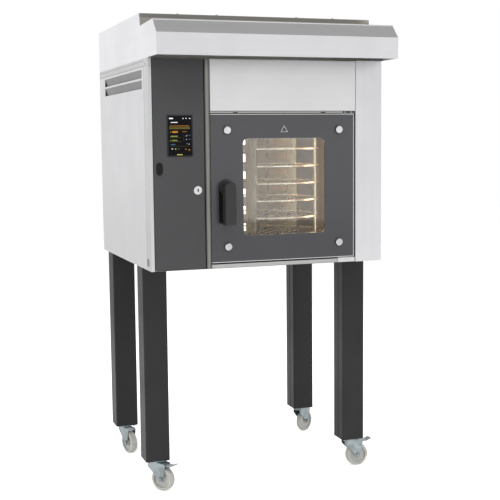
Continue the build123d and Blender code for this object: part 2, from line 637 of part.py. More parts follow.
def cable_gland():
    """Strain relief nut for the supply cable, open through its middle."""
    hexagon = Pos(GLAND_X, DEPTH, GLAND_Z) * Rot(-90, 0, 0) * extrude(RegularPolygon(22.0, 6), 12.0)
    body = hexagon + rod_y(GLAND_X, GLAND_Z, DEPTH - 18.0, DEPTH + FITTING_END, GLAND_RADIUS)
    return body - rod_y(GLAND_X, GLAND_Z, DEPTH - 20.0, DEPTH + FITTING_END + 1, CABLE_RADIUS)


def water_inlet():
    """Solenoid valve behind the back sheet with its hose fitting outside."""
    tail_y = DEPTH + COLLAR_THICK + NECK_LENGTH
    body = rod_y(WATER_X, GLAND_Z, DEPTH - 20.0, tail_y, WATER_RADIUS - 2.0)
    body += rod_y(WATER_X, GLAND_Z, DEPTH, DEPTH + COLLAR_THICK, WATER_RADIUS + 5.0)
    body += rod_y(WATER_X, GLAND_Z, tail_y, DEPTH + FITTING_END, WATER_RADIUS)
    body += block(WATER_X - 20, WATER_X + 20, DEPTH - 62.0, DEPTH - 20.0, GLAND_Z - 18, GLAND_Z + 40)
    return body - rod_y(WATER_X, GLAND_Z, DEPTH - 15.0, DEPTH + FITTING_END + 1, WATER_BORE)


def steam_injector():
    """Cascade water box on the chamber's left wall, behind the baffle."""
    body = block(CHAMBER_X0, CHAMBER_X0 + 60.0, BAFFLE_Y + 15.0, CHAMBER_Y1 - 12.0,
                 CHAMBER_Z0 + 60.0, CHAMBER_Z0 + 400.0)
    steps = 5
    for i in range(steps):
        z = CHAMBER_Z0 + 90.0 + i * 65.0
        body -= block(CHAMBER_X0 + 8.0, CHAMBER_X0 + 61.0, BAFFLE_Y + 25.0, CHAMBER_Y1 - 22.0, z, z + 45.0)
    return body


# ---------------------------------------------------------------- service space behind the panel
def electrical_plate():
    """Upright mounting plate in the service space with its rails."""
    body = block(PLATE_X, PLATE_X + 2.0, PLATE_Y0, PLATE_Y1, BASE_Z + 60.0, BASE_Z + 724.0)
    for i in range(3):
        z = BASE_Z + RAIL_START + i * RAIL_PITCH
        body += block(PLATE_X - RAIL_DEPTH, PLATE_X, PLATE_Y0 + 20.0, PLATE_Y1 - 20.0, z - 17.0, z + 17.0)
    return body


def switchgear():
    """Contactors, breakers and drives clipped on the rails."""
    items = []
    for row, (count, wide, tall, deep) in enumerate(((5, 54.0, 86.0, 80.0), (8, 34.0, 82.0, 64.0),
                                                     (2, 120.0, 150.0, 95.0))):
        z = BASE_Z + RAIL_START + row * RAIL_PITCH
        x1 = PLATE_X - RAIL_DEPTH
        step = (PLATE_Y1 - PLATE_Y0 - 50.0) / count
        for i in range(count):
            y = PLATE_Y0 + 30.0 + i * step
            items.append(block(x1 - deep, x1, y, y + min(wide, step) - 8.0, z - tall / 2, z + tall / 2))
    return group(items)


# ---------------------------------------------------------------- hood
def hood_outline():
    """Side outline of the hood as (y, z) points."""
    flap_top = TOP_Z + HOOD_FACE + HOOD_SLOPE_RISE
    return [(DEPTH, TOP_Z), (-HOOD_OVERHANG, TOP_Z), (-HOOD_OVERHANG, TOP_Z + HOOD_FACE),
            (-HOOD_OVERHANG + HOOD_SLOPE_RUN, flap_top),
            (HOOD_STEP - HOOD_NOTCH_RUN - 15.0, flap_top - HOOD_NOTCH_DROP + 1.0),
            (HOOD_STEP - HOOD_NOTCH_RUN, flap_top - HOOD_NOTCH_DROP - 3.0),
            (HOOD_STEP, HOOD_Z), (DEPTH, HOOD_Z)]


def hood_cheeks():
    """The two end plates of the hood."""
    cheek = side_plate(-HALF, -HALF + SHEET, hood_outline())
    return group([cheek, mirror(cheek, Plane.YZ)])


def hood_visor():
    """Bent front sheet of the hood between the cheeks, with a gutter behind it and an open mouth."""
    flap_top = TOP_Z + HOOD_FACE + HOOD_SLOPE_RISE
    back = HOOD_STEP - HOOD_NOTCH_RUN - 15.0
    points = [(0.0, TOP_Z), (-HOOD_OVERHANG, TOP_Z), (-HOOD_OVERHANG, TOP_Z + HOOD_FACE),
              (-HOOD_OVERHANG + HOOD_SLOPE_RUN, flap_top - 4.0),
              (-HOOD_OVERHANG + HOOD_SLOPE_RUN, flap_top), (back, flap_top - HOOD_NOTCH_DROP), (back, TOP_Z)]
    face = make_face(Polyline(*points, close=True))
    shell = face - offset(face, -SHEET)
    body = Pos(-HALF + SHEET, 0, 0) * extrude(Plane.YZ * shell, WIDTH - 2 * SHEET)
    lip = 14.0
    body -= block(-HALF, HALF, -HOOD_OVERHANG + lip, -2.0, TOP_Z - 1, TOP_Z + SHEET + 0.5)
    body -= block(-HALF, HALF, -2.0 - SHEET, back + 1, TOP_Z - 1, TOP_Z + HOOD_FACE)
    gutter_z = flap_top - HOOD_NOTCH_DROP - 8.0
    return body + block(-HALF + SHEET, HALF - SHEET, back - SHEET, HOOD_STEP, gutter_z - SHEET, gutter_z)


def hood_cover():
    """Raised rear cover of the hood, with a leaning lip on its front wall."""
    lip_z = HOOD_Z - 16.0
    points = [(DEPTH, TOP_Z), (HOOD_STEP, TOP_Z), (HOOD_STEP, lip_z), (HOOD_STEP - 6.0, HOOD_Z),
              (DEPTH, HOOD_Z)]
    outer = side_plate(-HALF + SHEET, HALF - SHEET, points)
    inner = block(-HALF + 2 * SHEET, HALF - 2 * SHEET, HOOD_STEP + SHEET, DEPTH - SHEET,
                  TOP_Z - 1, HOOD_Z - SHEET)
    return outer - inner - rod_z(CHAMBER_CX, FLUE_Y, HOOD_Z - 10, HOOD_Z + 1, FLUE_RADIUS + 1.5)


def flue_collar():
    """Spigot that hangs in the hood cover and takes a round duct."""
    body = tube_z(CHAMBER_CX, FLUE_Y, HOOD_Z - FLUE_LENGTH, HOOD_Z, FLUE_RADIUS + 1.5, FLUE_RADIUS)
    rim_z = HOOD_Z - SHEET
    return body + tube_z(CHAMBER_CX, FLUE_Y, rim_z - 3.0, rim_z, FLUE_RADIUS + 20, FLUE_RADIUS)


def hood_screws():
    """Dome-headed screws along the front edge of the raised cover."""
    screws = []
    for x in (-338.0, -174.0, 174.0, 338.0):
        dome = Pos(x, HOOD_STEP + 14.0, HOOD_Z) * Sphere(6.0)
        screws.append(dome & block(x - 10, x + 10, HOOD_STEP, HOOD_STEP + 30, HOOD_Z, HOOD_Z + 5))
    return group(screws)


# ---------------------------------------------------------------- door
def door_pan():
    """Steel pan behind the glass, with the window opening and holes for the hinge pins."""
    x0 = DOOR_X0 + DOOR_INSET
    x1 = DOOR_X1 - DOOR_INSET
    z0 = DOOR_Z0 + DOOR_INSET
    z1 = DOOR_Z1 - DOOR_INSET
    body = tray(x0, x1, GLASS_THICK, DOOR_THICK, z0, z1, DOOR_SHEET)
    body -= block(WINDOW_CX - HOLE_X, WINDOW_CX + HOLE_X, GLASS_THICK, DOOR_THICK + 1,
                  WINDOW_CZ - HOLE_Z, WINDOW_CZ + HOLE_Z)
    body -= rod_z(HINGE_X, HINGE_Y, z0 - 5, z1 + 5, HINGE_PIN_RADIUS + 0.02)
    return body


def hinge_block(z0, z1):
    """Block that carries one hinge pin inside the pan."""
    edge = DOOR_X1 - DOOR_INSET - DOOR_SHEET
    return block(HINGE_X - 24.0, edge, GLASS_THICK + 1.0, GLASS_THICK + 21.0, z0, z1)


def door_hinge_pins():
    """Upper and lower pin of the door with the blocks that hold them."""
    z0 = DOOR_Z0 + DOOR_INSET + DOOR_SHEET
    z1 = DOOR_Z1 - DOOR_INSET - DOOR_SHEET
    low = hinge_block(z0, z0 + HINGE_BLOCK_HEIGHT)
    low += rod_z(HINGE_X, HINGE_Y, BASE_Z + SHEET + 3.0, z0 + 10.0, HINGE_PIN_RADIUS)
    top = hinge_block(z1 - HINGE_BLOCK_HEIGHT, z1)
    top += rod_z(HINGE_X, HINGE_Y, z1 - 10.0, FASCIA_Z0 - SEAM - 1.0, HINGE_PIN_RADIUS)
    return group([low, top])


def window_frame():
    """Rectangular duct between the two panes."""
    y0 = GLASS_THICK
    y1 = DOOR_THICK - DOOR_SHEET - INNER_GLASS_THICK
    wall = DOOR_SHEET
    body = block(WINDOW_CX - HOLE_X, WINDOW_CX + HOLE_X, y0, y1, WINDOW_CZ - HOLE_Z, WINDOW_CZ + HOLE_Z)
    return body - block(WINDOW_CX - HOLE_X + wall, WINDOW_CX + HOLE_X - wall, y0 - 1, y1 + 1,
                        WINDOW_CZ - HOLE_Z + wall, WINDOW_CZ + HOLE_Z - wall)


def door_insulation():
    """Mineral wool between pan and window frame."""
    x0 = DOOR_X0 + DOOR_INSET + DOOR_SHEET
    x1 = DOOR_X1 - DOOR_INSET - DOOR_SHEET
    z0 = DOOR_Z0 + DOOR_INSET + DOOR_SHEET
    z1 = DOOR_Z1 - DOOR_INSET - DOOR_SHEET
    body = block(x0, x1, GLASS_THICK + 1.0, BUSH_END + 1.0, z0, z1)
    body -= block(WINDOW_CX - HOLE_X, WINDOW_CX + HOLE_X, 0, 40, WINDOW_CZ - HOLE_Z, WINDOW_CZ + HOLE_Z)
    body -= hinge_block(z0, z0 + HINGE_BLOCK_HEIGHT + 1.0) + hinge_block(z1 - HINGE_BLOCK_HEIGHT - 1.0, z1)
    body -= rod_y(HANDLE_X, HANDLE_Z, 0, 40, BUSH_RADIUS)
    for x, z in stud_places():
        body -= rod_y(x, z, 0, 40, STUD_HOLE_RADIUS)
    return body


def stud_places():
    """Centres of the four glass fixings."""
    return [(x, z) for x in (DOOR_X0 + STUD_INSET_X, DOOR_X1 - STUD_INSET_X)
            for z in (DOOR_Z0 + STUD_INSET_Z, DOOR_Z1 - STUD_INSET_Z)]


def door_outer_glass():
    """Front pane, with holes for the fixings and the handle spindle."""
    body = block(DOOR_X0, DOOR_X1, 0, GLASS_THICK, DOOR_Z0, DOOR_Z1)
    body = round_edges(body, Axis.Y, 3.0)
    for x, z in stud_places():
        body -= rod_y(x, z, -1, 10, STUD_HOLE_RADIUS)
    return body - rod_y(HANDLE_X, HANDLE_Z, -1, 10, SPINDLE_RADIUS + 1.0)


def door_inner_glass():
    """Inner pane clamped between the window frame and the pan."""
    reach_x = HOLE_X + INNER_GLASS_LAP
    reach_z = HOLE_Z + INNER_GLASS_LAP
    y1 = DOOR_THICK - DOOR_SHEET
    return block(WINDOW_CX - reach_x, WINDOW_CX + reach_x, y1 - INNER_GLASS_THICK, y1,
                 WINDOW_CZ - reach_z, WINDOW_CZ + reach_z)


def glass_studs():
    """Round fixings that clamp the front pane: a head outside and a stem into the door."""
    studs = []
    for x, z in stud_places():
        head = rod_y(x, z, -STUD_PROUD, 0, STUD_RADIUS)
        head = chamfer(head.edges().sort_by(Axis.Y)[0], 2.0)
        studs.append(head + rod_y(x, z, 0, BUSH_END, STUD_STEM_RADIUS))
    return group(studs)


def handle_bush():
    """Bush in the door that the handle spindle turns in."""
    body = rod_y(HANDLE_X, HANDLE_Z, GLASS_THICK, BUSH_END, BUSH_RADIUS)
    return body - rod_y(HANDLE_X, HANDLE_Z, 0, 40.0, SPINDLE_RADIUS + RUNNING_FIT)


def door_handle():
    """Hanging lever with an arched top on a round neck, with its spindle."""
    half = HANDLE_WIDTH / 2
    drop = HANDLE_LENGTH - half
    outline = Rectangle(HANDLE_WIDTH, drop, align=(Align.CENTER, Align.MAX)) + Circle(half)
    y1 = -FINGER_GAP
    lever = extrude(Plane(origin=(HANDLE_X, y1, HANDLE_Z), x_dir=(1, 0, 0), z_dir=(0, -1, 0)) * outline,
                    HANDLE_THICK)
    lever = fillet(lever.faces().sort_by(Axis.Y)[0].edges(), 7.0)
    lever = fillet(lever.faces().sort_by(Axis.Y)[-1].edges(), 4.0)
    neck = rod_y(HANDLE_X, HANDLE_Z, y1 - 2.0, -BODY_GAP, half - 1.0)
    rose = rod_y(HANDLE_X, HANDLE_Z, -5.0, -BODY_GAP, ROSE_RADIUS)
    spindle_end = BUSH_END + 2.0 + PAWL_THICK
    return lever + neck + rose + rod_y(HANDLE_X, HANDLE_Z, -BODY_GAP, spindle_end, SPINDLE_RADIUS)


def latch_pawl():
    """Arm on the inner end of the spindle."""
    y0 = BUSH_END + 2.0
    y1 = y0 + PAWL_THICK
    hub = rod_y(HANDLE_X, HANDLE_Z, y0, y1, BUSH_RADIUS + 1.0)
    arm = block(HANDLE_X - PAWL_LENGTH, HANDLE_X, y0, y1, HANDLE_Z - 9, HANDLE_Z + 9)
    return hub + arm - rod_y(HANDLE_X, HANDLE_Z, y0 - 1, y1 + 1, SPINDLE_RADIUS)


# ---------------------------------------------------------------- control panel
def oval(width, height):
    """Upright slot shape."""
    return Rot(0, 0, 90) * SlotOverall(height, width)


def on_panel(sketch, x, z, y0, y1):
    """Extrude a sketch of the panel's face between two depths."""
    return extrude(Plane(origin=(x, y1, z), x_dir=(1, 0, 0), z_dir=(0, -1, 0)) * sketch, y1 - y0)


def panel_spot(x, z):
    """Place on the panel from its left edge and the cabinet base."""
    return PANEL_X0 + x, BASE_Z + z


def control_panel():
    """Dark hinged panel: rolled left edge round its pins, rounded right edge, cut-outs."""
    outer = block(PANEL_PIN_X, PANEL_X1, 0, PANEL_DEPTH, PANEL_Z0, PANEL_Z1)
    right = outer.edges().filter_by(Axis.Z).sort_by(Axis.Y)[:2].sort_by(Axis.X)[-1:]
    outer = fillet(right, PANEL_EDGE_RADIUS)
    outer += rod_z(PANEL_PIN_X, PANEL_PIN_Y, PANEL_Z0, PANEL_Z1, PANEL_ROLL_RADIUS)
    cavity = block(PANEL_PIN_X + PANEL_ROLL_RADIUS + 2.0, PANEL_X1 - SHEET, SHEET, PANEL_DEPTH + 1,
                   PANEL_Z0 + SHEET, PANEL_Z1 - SHEET)
    corner = cavity.edges().filter_by(Axis.Z).sort_by(Axis.Y)[:2].sort_by(Axis.X)[-1:]
    body = outer - fillet(corner, PANEL_EDGE_RADIUS - SHEET)
    body -= block(PANEL_X0 - 1, PANEL_PIN_X + PANEL_ROLL_RADIUS + 2.5, 2 * PANEL_ROLL_RADIUS,
                  PANEL_DEPTH + 1, PANEL_Z0 - 1, PANEL_Z1 + 1)
    body -= rod_z(PANEL_PIN_X, PANEL_PIN_Y, PANEL_Z0 - 1, PANEL_Z1 + 1, PANEL_PIN_RADIUS + RUNNING_FIT)
    x, z = panel_spot(SCREEN_X, SCREEN_Z)
    body -= block(x - SCREEN_WIDTH / 2, x + SCREEN_WIDTH / 2, -1, 5,
                  z - SCREEN_HEIGHT / 2, z + SCREEN_HEIGHT / 2)
    x, z = panel_spot(LOCK_X, LOCK_Z)
    body -= rod_y(x, z, -1, 5, LOCK_BARREL_RADIUS + RUNNING_FIT)
    x, z = panel_spot(PORT_X, PORT_Z)
    body -= on_panel(oval(PORT_WIDTH - 6.0, PORT_HEIGHT - 6.0), x, z, -1, 5)
    return body


def display_bezel():
    """Thin frame round the touch screen, standing on the panel."""
    x, z = panel_spot(SCREEN_X, SCREEN_Z)
    sketch = RectangleRounded(SCREEN_WIDTH + 2 * SCREEN_BORDER, SCREEN_HEIGHT + 2 * SCREEN_BORDER, 4.0)
    sketch -= Rectangle(SCREEN_WIDTH, SCREEN_HEIGHT)
    return on_panel(sketch, x, z, -2.0, 0.0)


def display_screen():
    """Touch screen and its case behind the panel."""
    x, z = panel_spot(SCREEN_X, SCREEN_Z)
    glass = on_panel(Rectangle(SCREEN_WIDTH, SCREEN_HEIGHT), x, z, -1.2, SHEET)
    case = on_panel(Rectangle(SCREEN_WIDTH + 16.0, SCREEN_HEIGHT + 16.0), x, z, SHEET, PANEL_DEPTH + 8.0)
    return glass + case


def key_lock():
    """Lock barrel with its collar outside, a keyway and a cam behind the panel."""
    x, z = panel_spot(LOCK_X, LOCK_Z)
    body = rod_y(x, z, -5.0, -BODY_GAP, LOCK_RADIUS)
    body = chamfer(body.edges().sort_by(Axis.Y)[0], 1.5)
    body += rod_y(x, z, -BODY_GAP, 25.0, LOCK_BARREL_RADIUS)
    body += block(x - 9.0, x + 9.0, 22.0, 25.0, z - LOCK_CAM, z)
    return body - block(x - 1.5, x + 1.5, -6.0, 8.0, z - 6.0, z + 6.0)


def port_cap():
    """Cap over the service port, with a hinge barrel at its right edge."""
    x, z = panel_spot(PORT_X, PORT_Z)
    flange = on_panel(oval(PORT_WIDTH, PORT_HEIGHT), x, z, -4.0, -BODY_GAP)
    flange = fillet(flange.faces().sort_by(Axis.Y)[0].edges(), 1.5)
    barrel = rod_z(x + PORT_WIDTH / 2, -PORT_HINGE_RADIUS - BODY_GAP, z - 9.0, z + 9.0, PORT_HINGE_RADIUS)
    return flange + barrel + on_panel(oval(PORT_WIDTH - 11.0, PORT_HEIGHT - 11.0), x, z, -BODY_GAP, 5.0)


# ---------------------------------------------------------------- revolving rack
def rack_point(radius, degrees):
    """Point on a circle round the rack axis."""
    angle = math.radians(degrees)
    return RACK_X + radius * math.cos(angle), RACK_Y + radius * math.sin(angle)


def rack_cheek(turn):
    """Flat upright plate on a chord of the rack, with one slot over each shelf."""
    half = RACK_RADIUS * math.sin(math.radians(CHEEK_HALF_ANGLE))
    chord = RACK_RADIUS * math.cos(math.radians(CHEEK_HALF_ANGLE))
    plate = block(chord - 2.0, chord, -half, half, RACK_FOOT_Z, RACK_HEAD_Z)
    for z in SHELF_Z:
        plate -= block(chord - 5.0, chord + 5.0, -half / 2, half / 2, z + 22.0, z + 54.0)
    return Pos(RACK_X, RACK_Y, 0) * Rot(0, 0, turn) * plate


def rack_frame():
    """Foot and head discs, two slotted plates and two rods."""
    foot = rod_z(RACK_X, RACK_Y, RACK_FOOT_Z - 3.0, RACK_FOOT_Z, RACK_RADIUS)
    head = rod_z(RACK_X, RACK_Y, RACK_HEAD_Z, RACK_HEAD_Z + 3.0, RACK_RADIUS)
    body = foot + head
    for half_turn in (0.0, 180.0):
        body += rack_cheek(RACK_TURN - 90.0 + half_turn)
        x, y = rack_point(RACK_RADIUS - 16.0, RACK_TURN + half_turn)
        body += rod_z(x, y, RACK_FOOT_Z - 1, RACK_HEAD_Z + 1, ROD_RADIUS)
    return body


def rack_spindle():
    """Drive shaft above the rack and pivot pin below it, each with a flange."""
    top = rod_z(RACK_X, RACK_Y, RACK_HEAD_Z + 3.0, GEARMOTOR_Z + GEAR_SHAFT_DEPTH - 5.0, RACK_SPINDLE_RADIUS)
    top += rod_z(RACK_X, RACK_Y, RACK_HEAD_Z + 3.0, RACK_HEAD_Z + 9.0, 35.0)
    low = rod_z(RACK_X, RACK_Y, CHAMBER_Z0 + 4.0, RACK_FOOT_Z - 3.0, 10.0)
    return group([top, low])


def shelf(z):
    """One round shelf: a rim, cross bars, flats against the plates and notches for the rods."""
    rim = rod_z(0, 0, 0, SHELF_THICK, RACK_RADIUS) - rod_z(0, 0, -1, SHELF_THICK + 1, RACK_RADIUS - SHELF_RIM)
    disc = rod_z(0, 0, 0, SHELF_THICK, RACK_RADIUS - SHELF_RIM / 2)
    body = rim
    count = int(RACK_RADIUS // SHELF_BAR_PITCH)
    for i in range(-count, count + 1):
        bar = block(i * SHELF_BAR_PITCH - 2.0, i * SHELF_BAR_PITCH + 2.0, -RACK_RADIUS, RACK_RADIUS, 0, 4.0)
        body += bar & disc
    chord = RACK_RADIUS * math.cos(math.radians(CHEEK_HALF_ANGLE)) - 2.0
    side = block(chord - SHELF_RIM, chord, -RACK_RADIUS, RACK_RADIUS, 0, SHELF_THICK)
    side = side & rod_z(0, 0, 0, 9, RACK_RADIUS)
    cap = block(chord, RACK_RADIUS + 5, -RACK_RADIUS, RACK_RADIUS, -1, SHELF_THICK + 1)
    for turn in (-90.0, 90.0):
        beyond = Rot(0, 0, turn) * cap
        body += Rot(0, 0, turn) * side
        body -= beyond
    for turn in (0.0, 180.0):
        body -= Rot(0, 0, turn) * rod_z(RACK_RADIUS - 16.0, 0, -1, SHELF_THICK + 1, ROD_RADIUS + 0.1)
    return Pos(RACK_X, RACK_Y, z) * Rot(0, 0, RACK_TURN) * body


def rack_shelves():
    """All shelves of the rack."""
    return group([shelf(z) for z in SHELF_Z])


# ---------------------------------------------------------------- stand
def leg():
    """Folded tube with an open seam, closed by a plate at each end."""
    tube = Box(LEG_WIDTH, LEG_DEPTH, LEG_HEIGHT)
    tube = round_edges(tube, Axis.Z, LEG_RADIUS)
    bore = Box(LEG_WIDTH - 2 * LEG_WALL, LEG_DEPTH - 2 * LEG_WALL, LEG_HEIGHT - 2 * LEG_WALL)
    bore = round_edges(bore, Axis.Z, LEG_RADIUS - LEG_WALL)
    seam = Pos(-LEG_WIDTH / 2, 0, 0) * Box(3 * LEG_WALL, 5.0, LEG_HEIGHT - 4 * LEG_WALL)
    return Pos(0, 0, CASTER_HEIGHT + LEG_HEIGHT / 2) * (tube - bore - seam)


def caster_plates(places):
    """Bolt plates under the legs, each with its race and kingpin."""
    plates = []
    for x, y in places:
        z1 = CASTER_HEIGHT
        plate = block(x - PLATE_SIZE / 2, x + PLATE_SIZE / 2, y - PLATE_SIZE / 2, y + PLATE_SIZE / 2,
                      z1 - PLATE_THICK, z1)
        plate = round_edges(plate, Axis.Z, 8.0)
        plate += rod_z(x, y, CROWN_Z1 + BODY_GAP, z1 - PLATE_THICK, 27.0)
        plate += rod_z(x, y, CROWN_Z0 - 4.0, z1 - PLATE_THICK, KINGPIN_RADIUS)
        plate += rod_z(x, y, CROWN_Z0 - 4.0, CROWN_Z0 - BODY_GAP, 9.0)
        plates.append(plate)
    return group(plates)


def fork_ear():
    """Side cheek of the fork in its own plane, from crown to axle."""
    z0 = WHEEL_RADIUS
    outline = Polyline((-26.0, CROWN_Z1), (40.0, CROWN_Z1), (60.0, PEDAL_PIVOT_Z + 7.0),
                       (60.0, PEDAL_PIVOT_Z - 6.0),
                       (TRAIL + 11.0, z0), (TRAIL, z0 - 11.0), (TRAIL - 11.0, z0), (-26.0, CROWN_Z0 - 14.0),
                       close=True)
    return make_face(outline) + Pos(TRAIL, z0) * Circle(11.0)


def fork():
    """Swivel fork with two cheeks, crown and axle, trailing along +X."""
    crown = block(-26.0, 38.0, -EAR_GAP - FORK_SHEET, EAR_GAP + FORK_SHEET, CROWN_Z0, CROWN_Z1)
    crown += rod_z(0, 0, CROWN_Z0, CROWN_Z1, 26.0)
    body = crown
    for y in (-EAR_GAP, EAR_GAP + FORK_SHEET):
        body += extrude(Plane.XZ.offset(-y) * fork_ear(), FORK_SHEET)
    body -= rod_z(0, 0, CROWN_Z0 - 10, CROWN_Z1 + 10, KINGPIN_RADIUS + RUNNING_FIT)
    reach = EAR_GAP + FORK_SHEET
    body += rod_y(TRAIL, WHEEL_RADIUS, -reach - 5.0, reach + 5.0, AXLE_RADIUS)
    body += rod_y(TRAIL, WHEEL_RADIUS, -reach - 5.0, -reach, 9.0)
    body += rod_y(TRAIL, WHEEL_RADIUS, reach, reach + 5.0, 9.0)
    return body


def wheel():
    """Nylon wheel with rounded tread, dished sides and a bored hub, on its axle."""
    half = WHEEL_WIDTH / 2
    bore = AXLE_RADIUS + RUNNING_FIT
    disc = rod_y(TRAIL, WHEEL_RADIUS, -half, half, WHEEL_RADIUS)
    disc = fillet(disc.edges().filter_by(GeomType.CIRCLE), 7.0)
    for y0, y1 in ((-half, -half + 7.0), (half - 7.0, half)):
        disc -= rod_y(TRAIL, WHEEL_RADIUS, y0, y1, 37.0) - rod_y(TRAIL, WHEEL_RADIUS, y0, y1, 15.0)
    disc += rod_y(TRAIL, WHEEL_RADIUS, -EAR_GAP + 0.5, EAR_GAP - 0.5, 13.0)
    return disc - rod_y(TRAIL, WHEEL_RADIUS, -half - 5, half + 5, bore)


def pedal():
    """Brake pedal: pivot tube, arm with an upturned toe plate and the shoe over the tread."""
    px, pz = PEDAL_PIVOT_X, PEDAL_PIVOT_Z
    half = EAR_GAP - 1.0
    arm = Polyline((px - 4.0, pz + 3.0), (px - 4.0, pz - 1.0), (PEDAL_REACH - 22.0, pz - 1.0),
                   (PEDAL_REACH, pz + 8.0), (PEDAL_REACH, pz + 11.0), (PEDAL_REACH - 23.0, pz + 3.0),
                   close=True)
    body = extrude(Plane.XZ * make_face(arm), half, both=True)
    body += rod_y(px, pz, -half, half, 5.0)
    return body + block(px + 6.0, px + 13.0, -10.0, 10.0, pz - 9.0, pz)


def pedal_pin_cut(shape):
    """Free the fork from the pedal's pivot pins."""
    return shape - rod_y(PEDAL_PIVOT_X, PEDAL_PIVOT_Z, -40, 40, PEDAL_PIN_RADIUS + RUNNING_FIT)


def pedal_with_pin():
    """Pedal and the pin that turns in the fork."""
    reach = EAR_GAP + FORK_SHEET
    return pedal() + rod_y(PEDAL_PIVOT_X, PEDAL_PIVOT_Z, -reach, reach, PEDAL_PIN_RADIUS)


# ---------------------------------------------------------------- whole oven
def stand_places():
    """Leg name, side, and centre of each leg."""
    places = {}
    for row in ("front", "rear"):
        for name, side in (("left", -1), ("right", 1)):
            places[row + "_" + name] = (side, side * LEG_X, LEG_Y[row])
    return places


def build():
    """Every piece of the oven by name, in the layout frame."""
    pieces = {
        "base_pan": base_pan(),
        "inner_frame": inner_frame(),
        "side_panel_left": group([side_panel(-1), louvre_slats()]),
        "side_panel_right": side_panel(1),
        "corner_post": corner_post(),
        "front_column": front_column(),
        "rear_panel": rear_panel(),
        "roof_panel": group([roof_panel(), side_rails()]),
        "centre_post": centre_post(),
        "fascia": fascia(),
        "door_surround": door_surround(),
        "hinge_brackets": hinge_brackets(),
        "latch_catch": latch_catch(),
        "chamber_liner": chamber_liner(),
        "insulation": insulation(),
        "door_seal": door_seal(),
        "air_baffle": air_baffle(),
        "heater_coils": heater_coils(),
        "fan_wheel": fan_wheel(),
        "fan_motor": fan_motor(),
        "rack_gearmotor": rack_gearmotor(),
        "rack_bearing": rack_bearing(),
        "chamber_lamp": chamber_lamp(),
        "steam_duct": steam_duct(),
        "steam_injector": steam_injector(),
        "cable_gland": cable_gland(),
        "water_inlet": water_inlet(),
        "switchgear": group([electrical_plate(), switchgear()]),
        "hood_cheeks": hood_cheeks(),
        "hood_visor": hood_visor(),
        "hood_cover": group([hood_cover(), hood_screws()]),
        "flue_collar": flue_collar(),
        "door_pan": door_pan(),
        "door_hinge_pins": door_hinge_pins(),
        "window_frame": window_frame(),
        "door_insulation": door_insulation(),
        "door_outer_glass": door_outer_glass(),
        "door_inner_glass": door_inner_glass(),
        "glass_studs": glass_studs(),
        "handle_bush": handle_bush(),
        "door_handle": group([door_handle(), latch_pawl()]),
        "control_panel": control_panel(),
        "display_bezel": display_bezel(),
        "display_screen": display_screen(),
        "key_lock": key_lock(),
        "port_cap": port_cap(),
        "rack_frame": group([rack_frame(), rack_spindle()]),
        "rack_shelves": rack_shelves(),
    }
    places = stand_places()
    legs = []
    for name, (side, x, y) in places.items():
        legs.append(Pos(x, y, 0) * (leg() if side > 0 else mirror(leg(), Plane.YZ)))
        turned = Pos(x, y, 0) * Rot(0, 0, CASTER_ANGLES[name])
        braked = name in BRAKED
        pieces["caster_fork_" + name] = turned * (pedal_pin_cut(fork()) if braked else fork())
        pieces["caster_wheel_" + name] = turned * wheel()
        if braked:
            pieces["brake_pedal_" + name] = turned * pedal_with_pin()
    pieces["legs"] = group(legs)
    pieces["caster_plates"] = caster_plates([(x, y) for side, x, y in places.values()])
    return pieces


PIECES = build()

# The saved origin is the middle of the whole oven's box, on the floor.
WHOLE = group(PIECES.values()).bounding_box()
ORIGIN_X = (WHOLE.min.X + WHOLE.max.X) / 2
ORIGIN_Y = (WHOLE.min.Y + WHOLE.max.Y) / 2

os.makedirs("parts", exist_ok=True)
for node, piece in PIECES.items():
    export_step(Pos(-ORIGIN_X, -ORIGIN_Y, 0) * piece, os.path.join("parts", node + ".step"))
print("pieces", len(PIECES), "origin", round(ORIGIN_X, 3), round(ORIGIN_Y, 3), "floor", round(WHOLE.min.Z, 4))
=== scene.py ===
import sys
import logging
import math
from dataclasses import dataclass, field
from enum import Enum
from functools import cached_property

import bmesh
import bpy
from mathutils import Matrix, Vector


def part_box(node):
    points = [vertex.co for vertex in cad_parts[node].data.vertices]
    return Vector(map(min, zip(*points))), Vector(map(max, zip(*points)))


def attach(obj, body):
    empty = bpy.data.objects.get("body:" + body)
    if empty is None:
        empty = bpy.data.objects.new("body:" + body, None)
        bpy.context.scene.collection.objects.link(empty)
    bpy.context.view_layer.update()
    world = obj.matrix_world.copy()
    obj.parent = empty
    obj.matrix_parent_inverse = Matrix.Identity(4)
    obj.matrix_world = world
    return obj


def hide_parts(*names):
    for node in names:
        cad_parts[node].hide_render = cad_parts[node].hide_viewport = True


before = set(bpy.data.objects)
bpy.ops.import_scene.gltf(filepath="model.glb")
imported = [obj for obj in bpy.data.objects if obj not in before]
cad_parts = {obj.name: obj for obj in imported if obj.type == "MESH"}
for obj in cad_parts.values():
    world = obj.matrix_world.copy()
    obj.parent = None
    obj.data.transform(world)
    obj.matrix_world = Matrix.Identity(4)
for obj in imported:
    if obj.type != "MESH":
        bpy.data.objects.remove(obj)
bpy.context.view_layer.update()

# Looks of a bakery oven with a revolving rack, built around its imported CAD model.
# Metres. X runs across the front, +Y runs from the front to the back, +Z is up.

Point = tuple[float, float, float]
Pair = tuple[float, float]
Colour = tuple[float, float, float]

NOUGHT = (0.0, 0.0, 0.0)
log = logging.getLogger("oven")


class Axis(Enum):
    """A direction of the row frame."""

    X = 0
    Y = 1
    Z = 2


class Grain(Enum):
    """The way that a sheet was brushed: how far the noise is stretched along X, Y and Z."""

    NONE = (1.0, 1.0, 1.0)
    ACROSS = (0.012, 1.0, 1.0)
    ALONG = (1.0, 0.012, 1.0)
    UPRIGHT = (1.0, 1.0, 0.012)


class Kind(Enum):
    """The sockets of a node group."""

    FLOAT = "NodeSocketFloat"
    VECTOR = "NodeSocketVector"


# ---------------------------------------------------------------- node trees


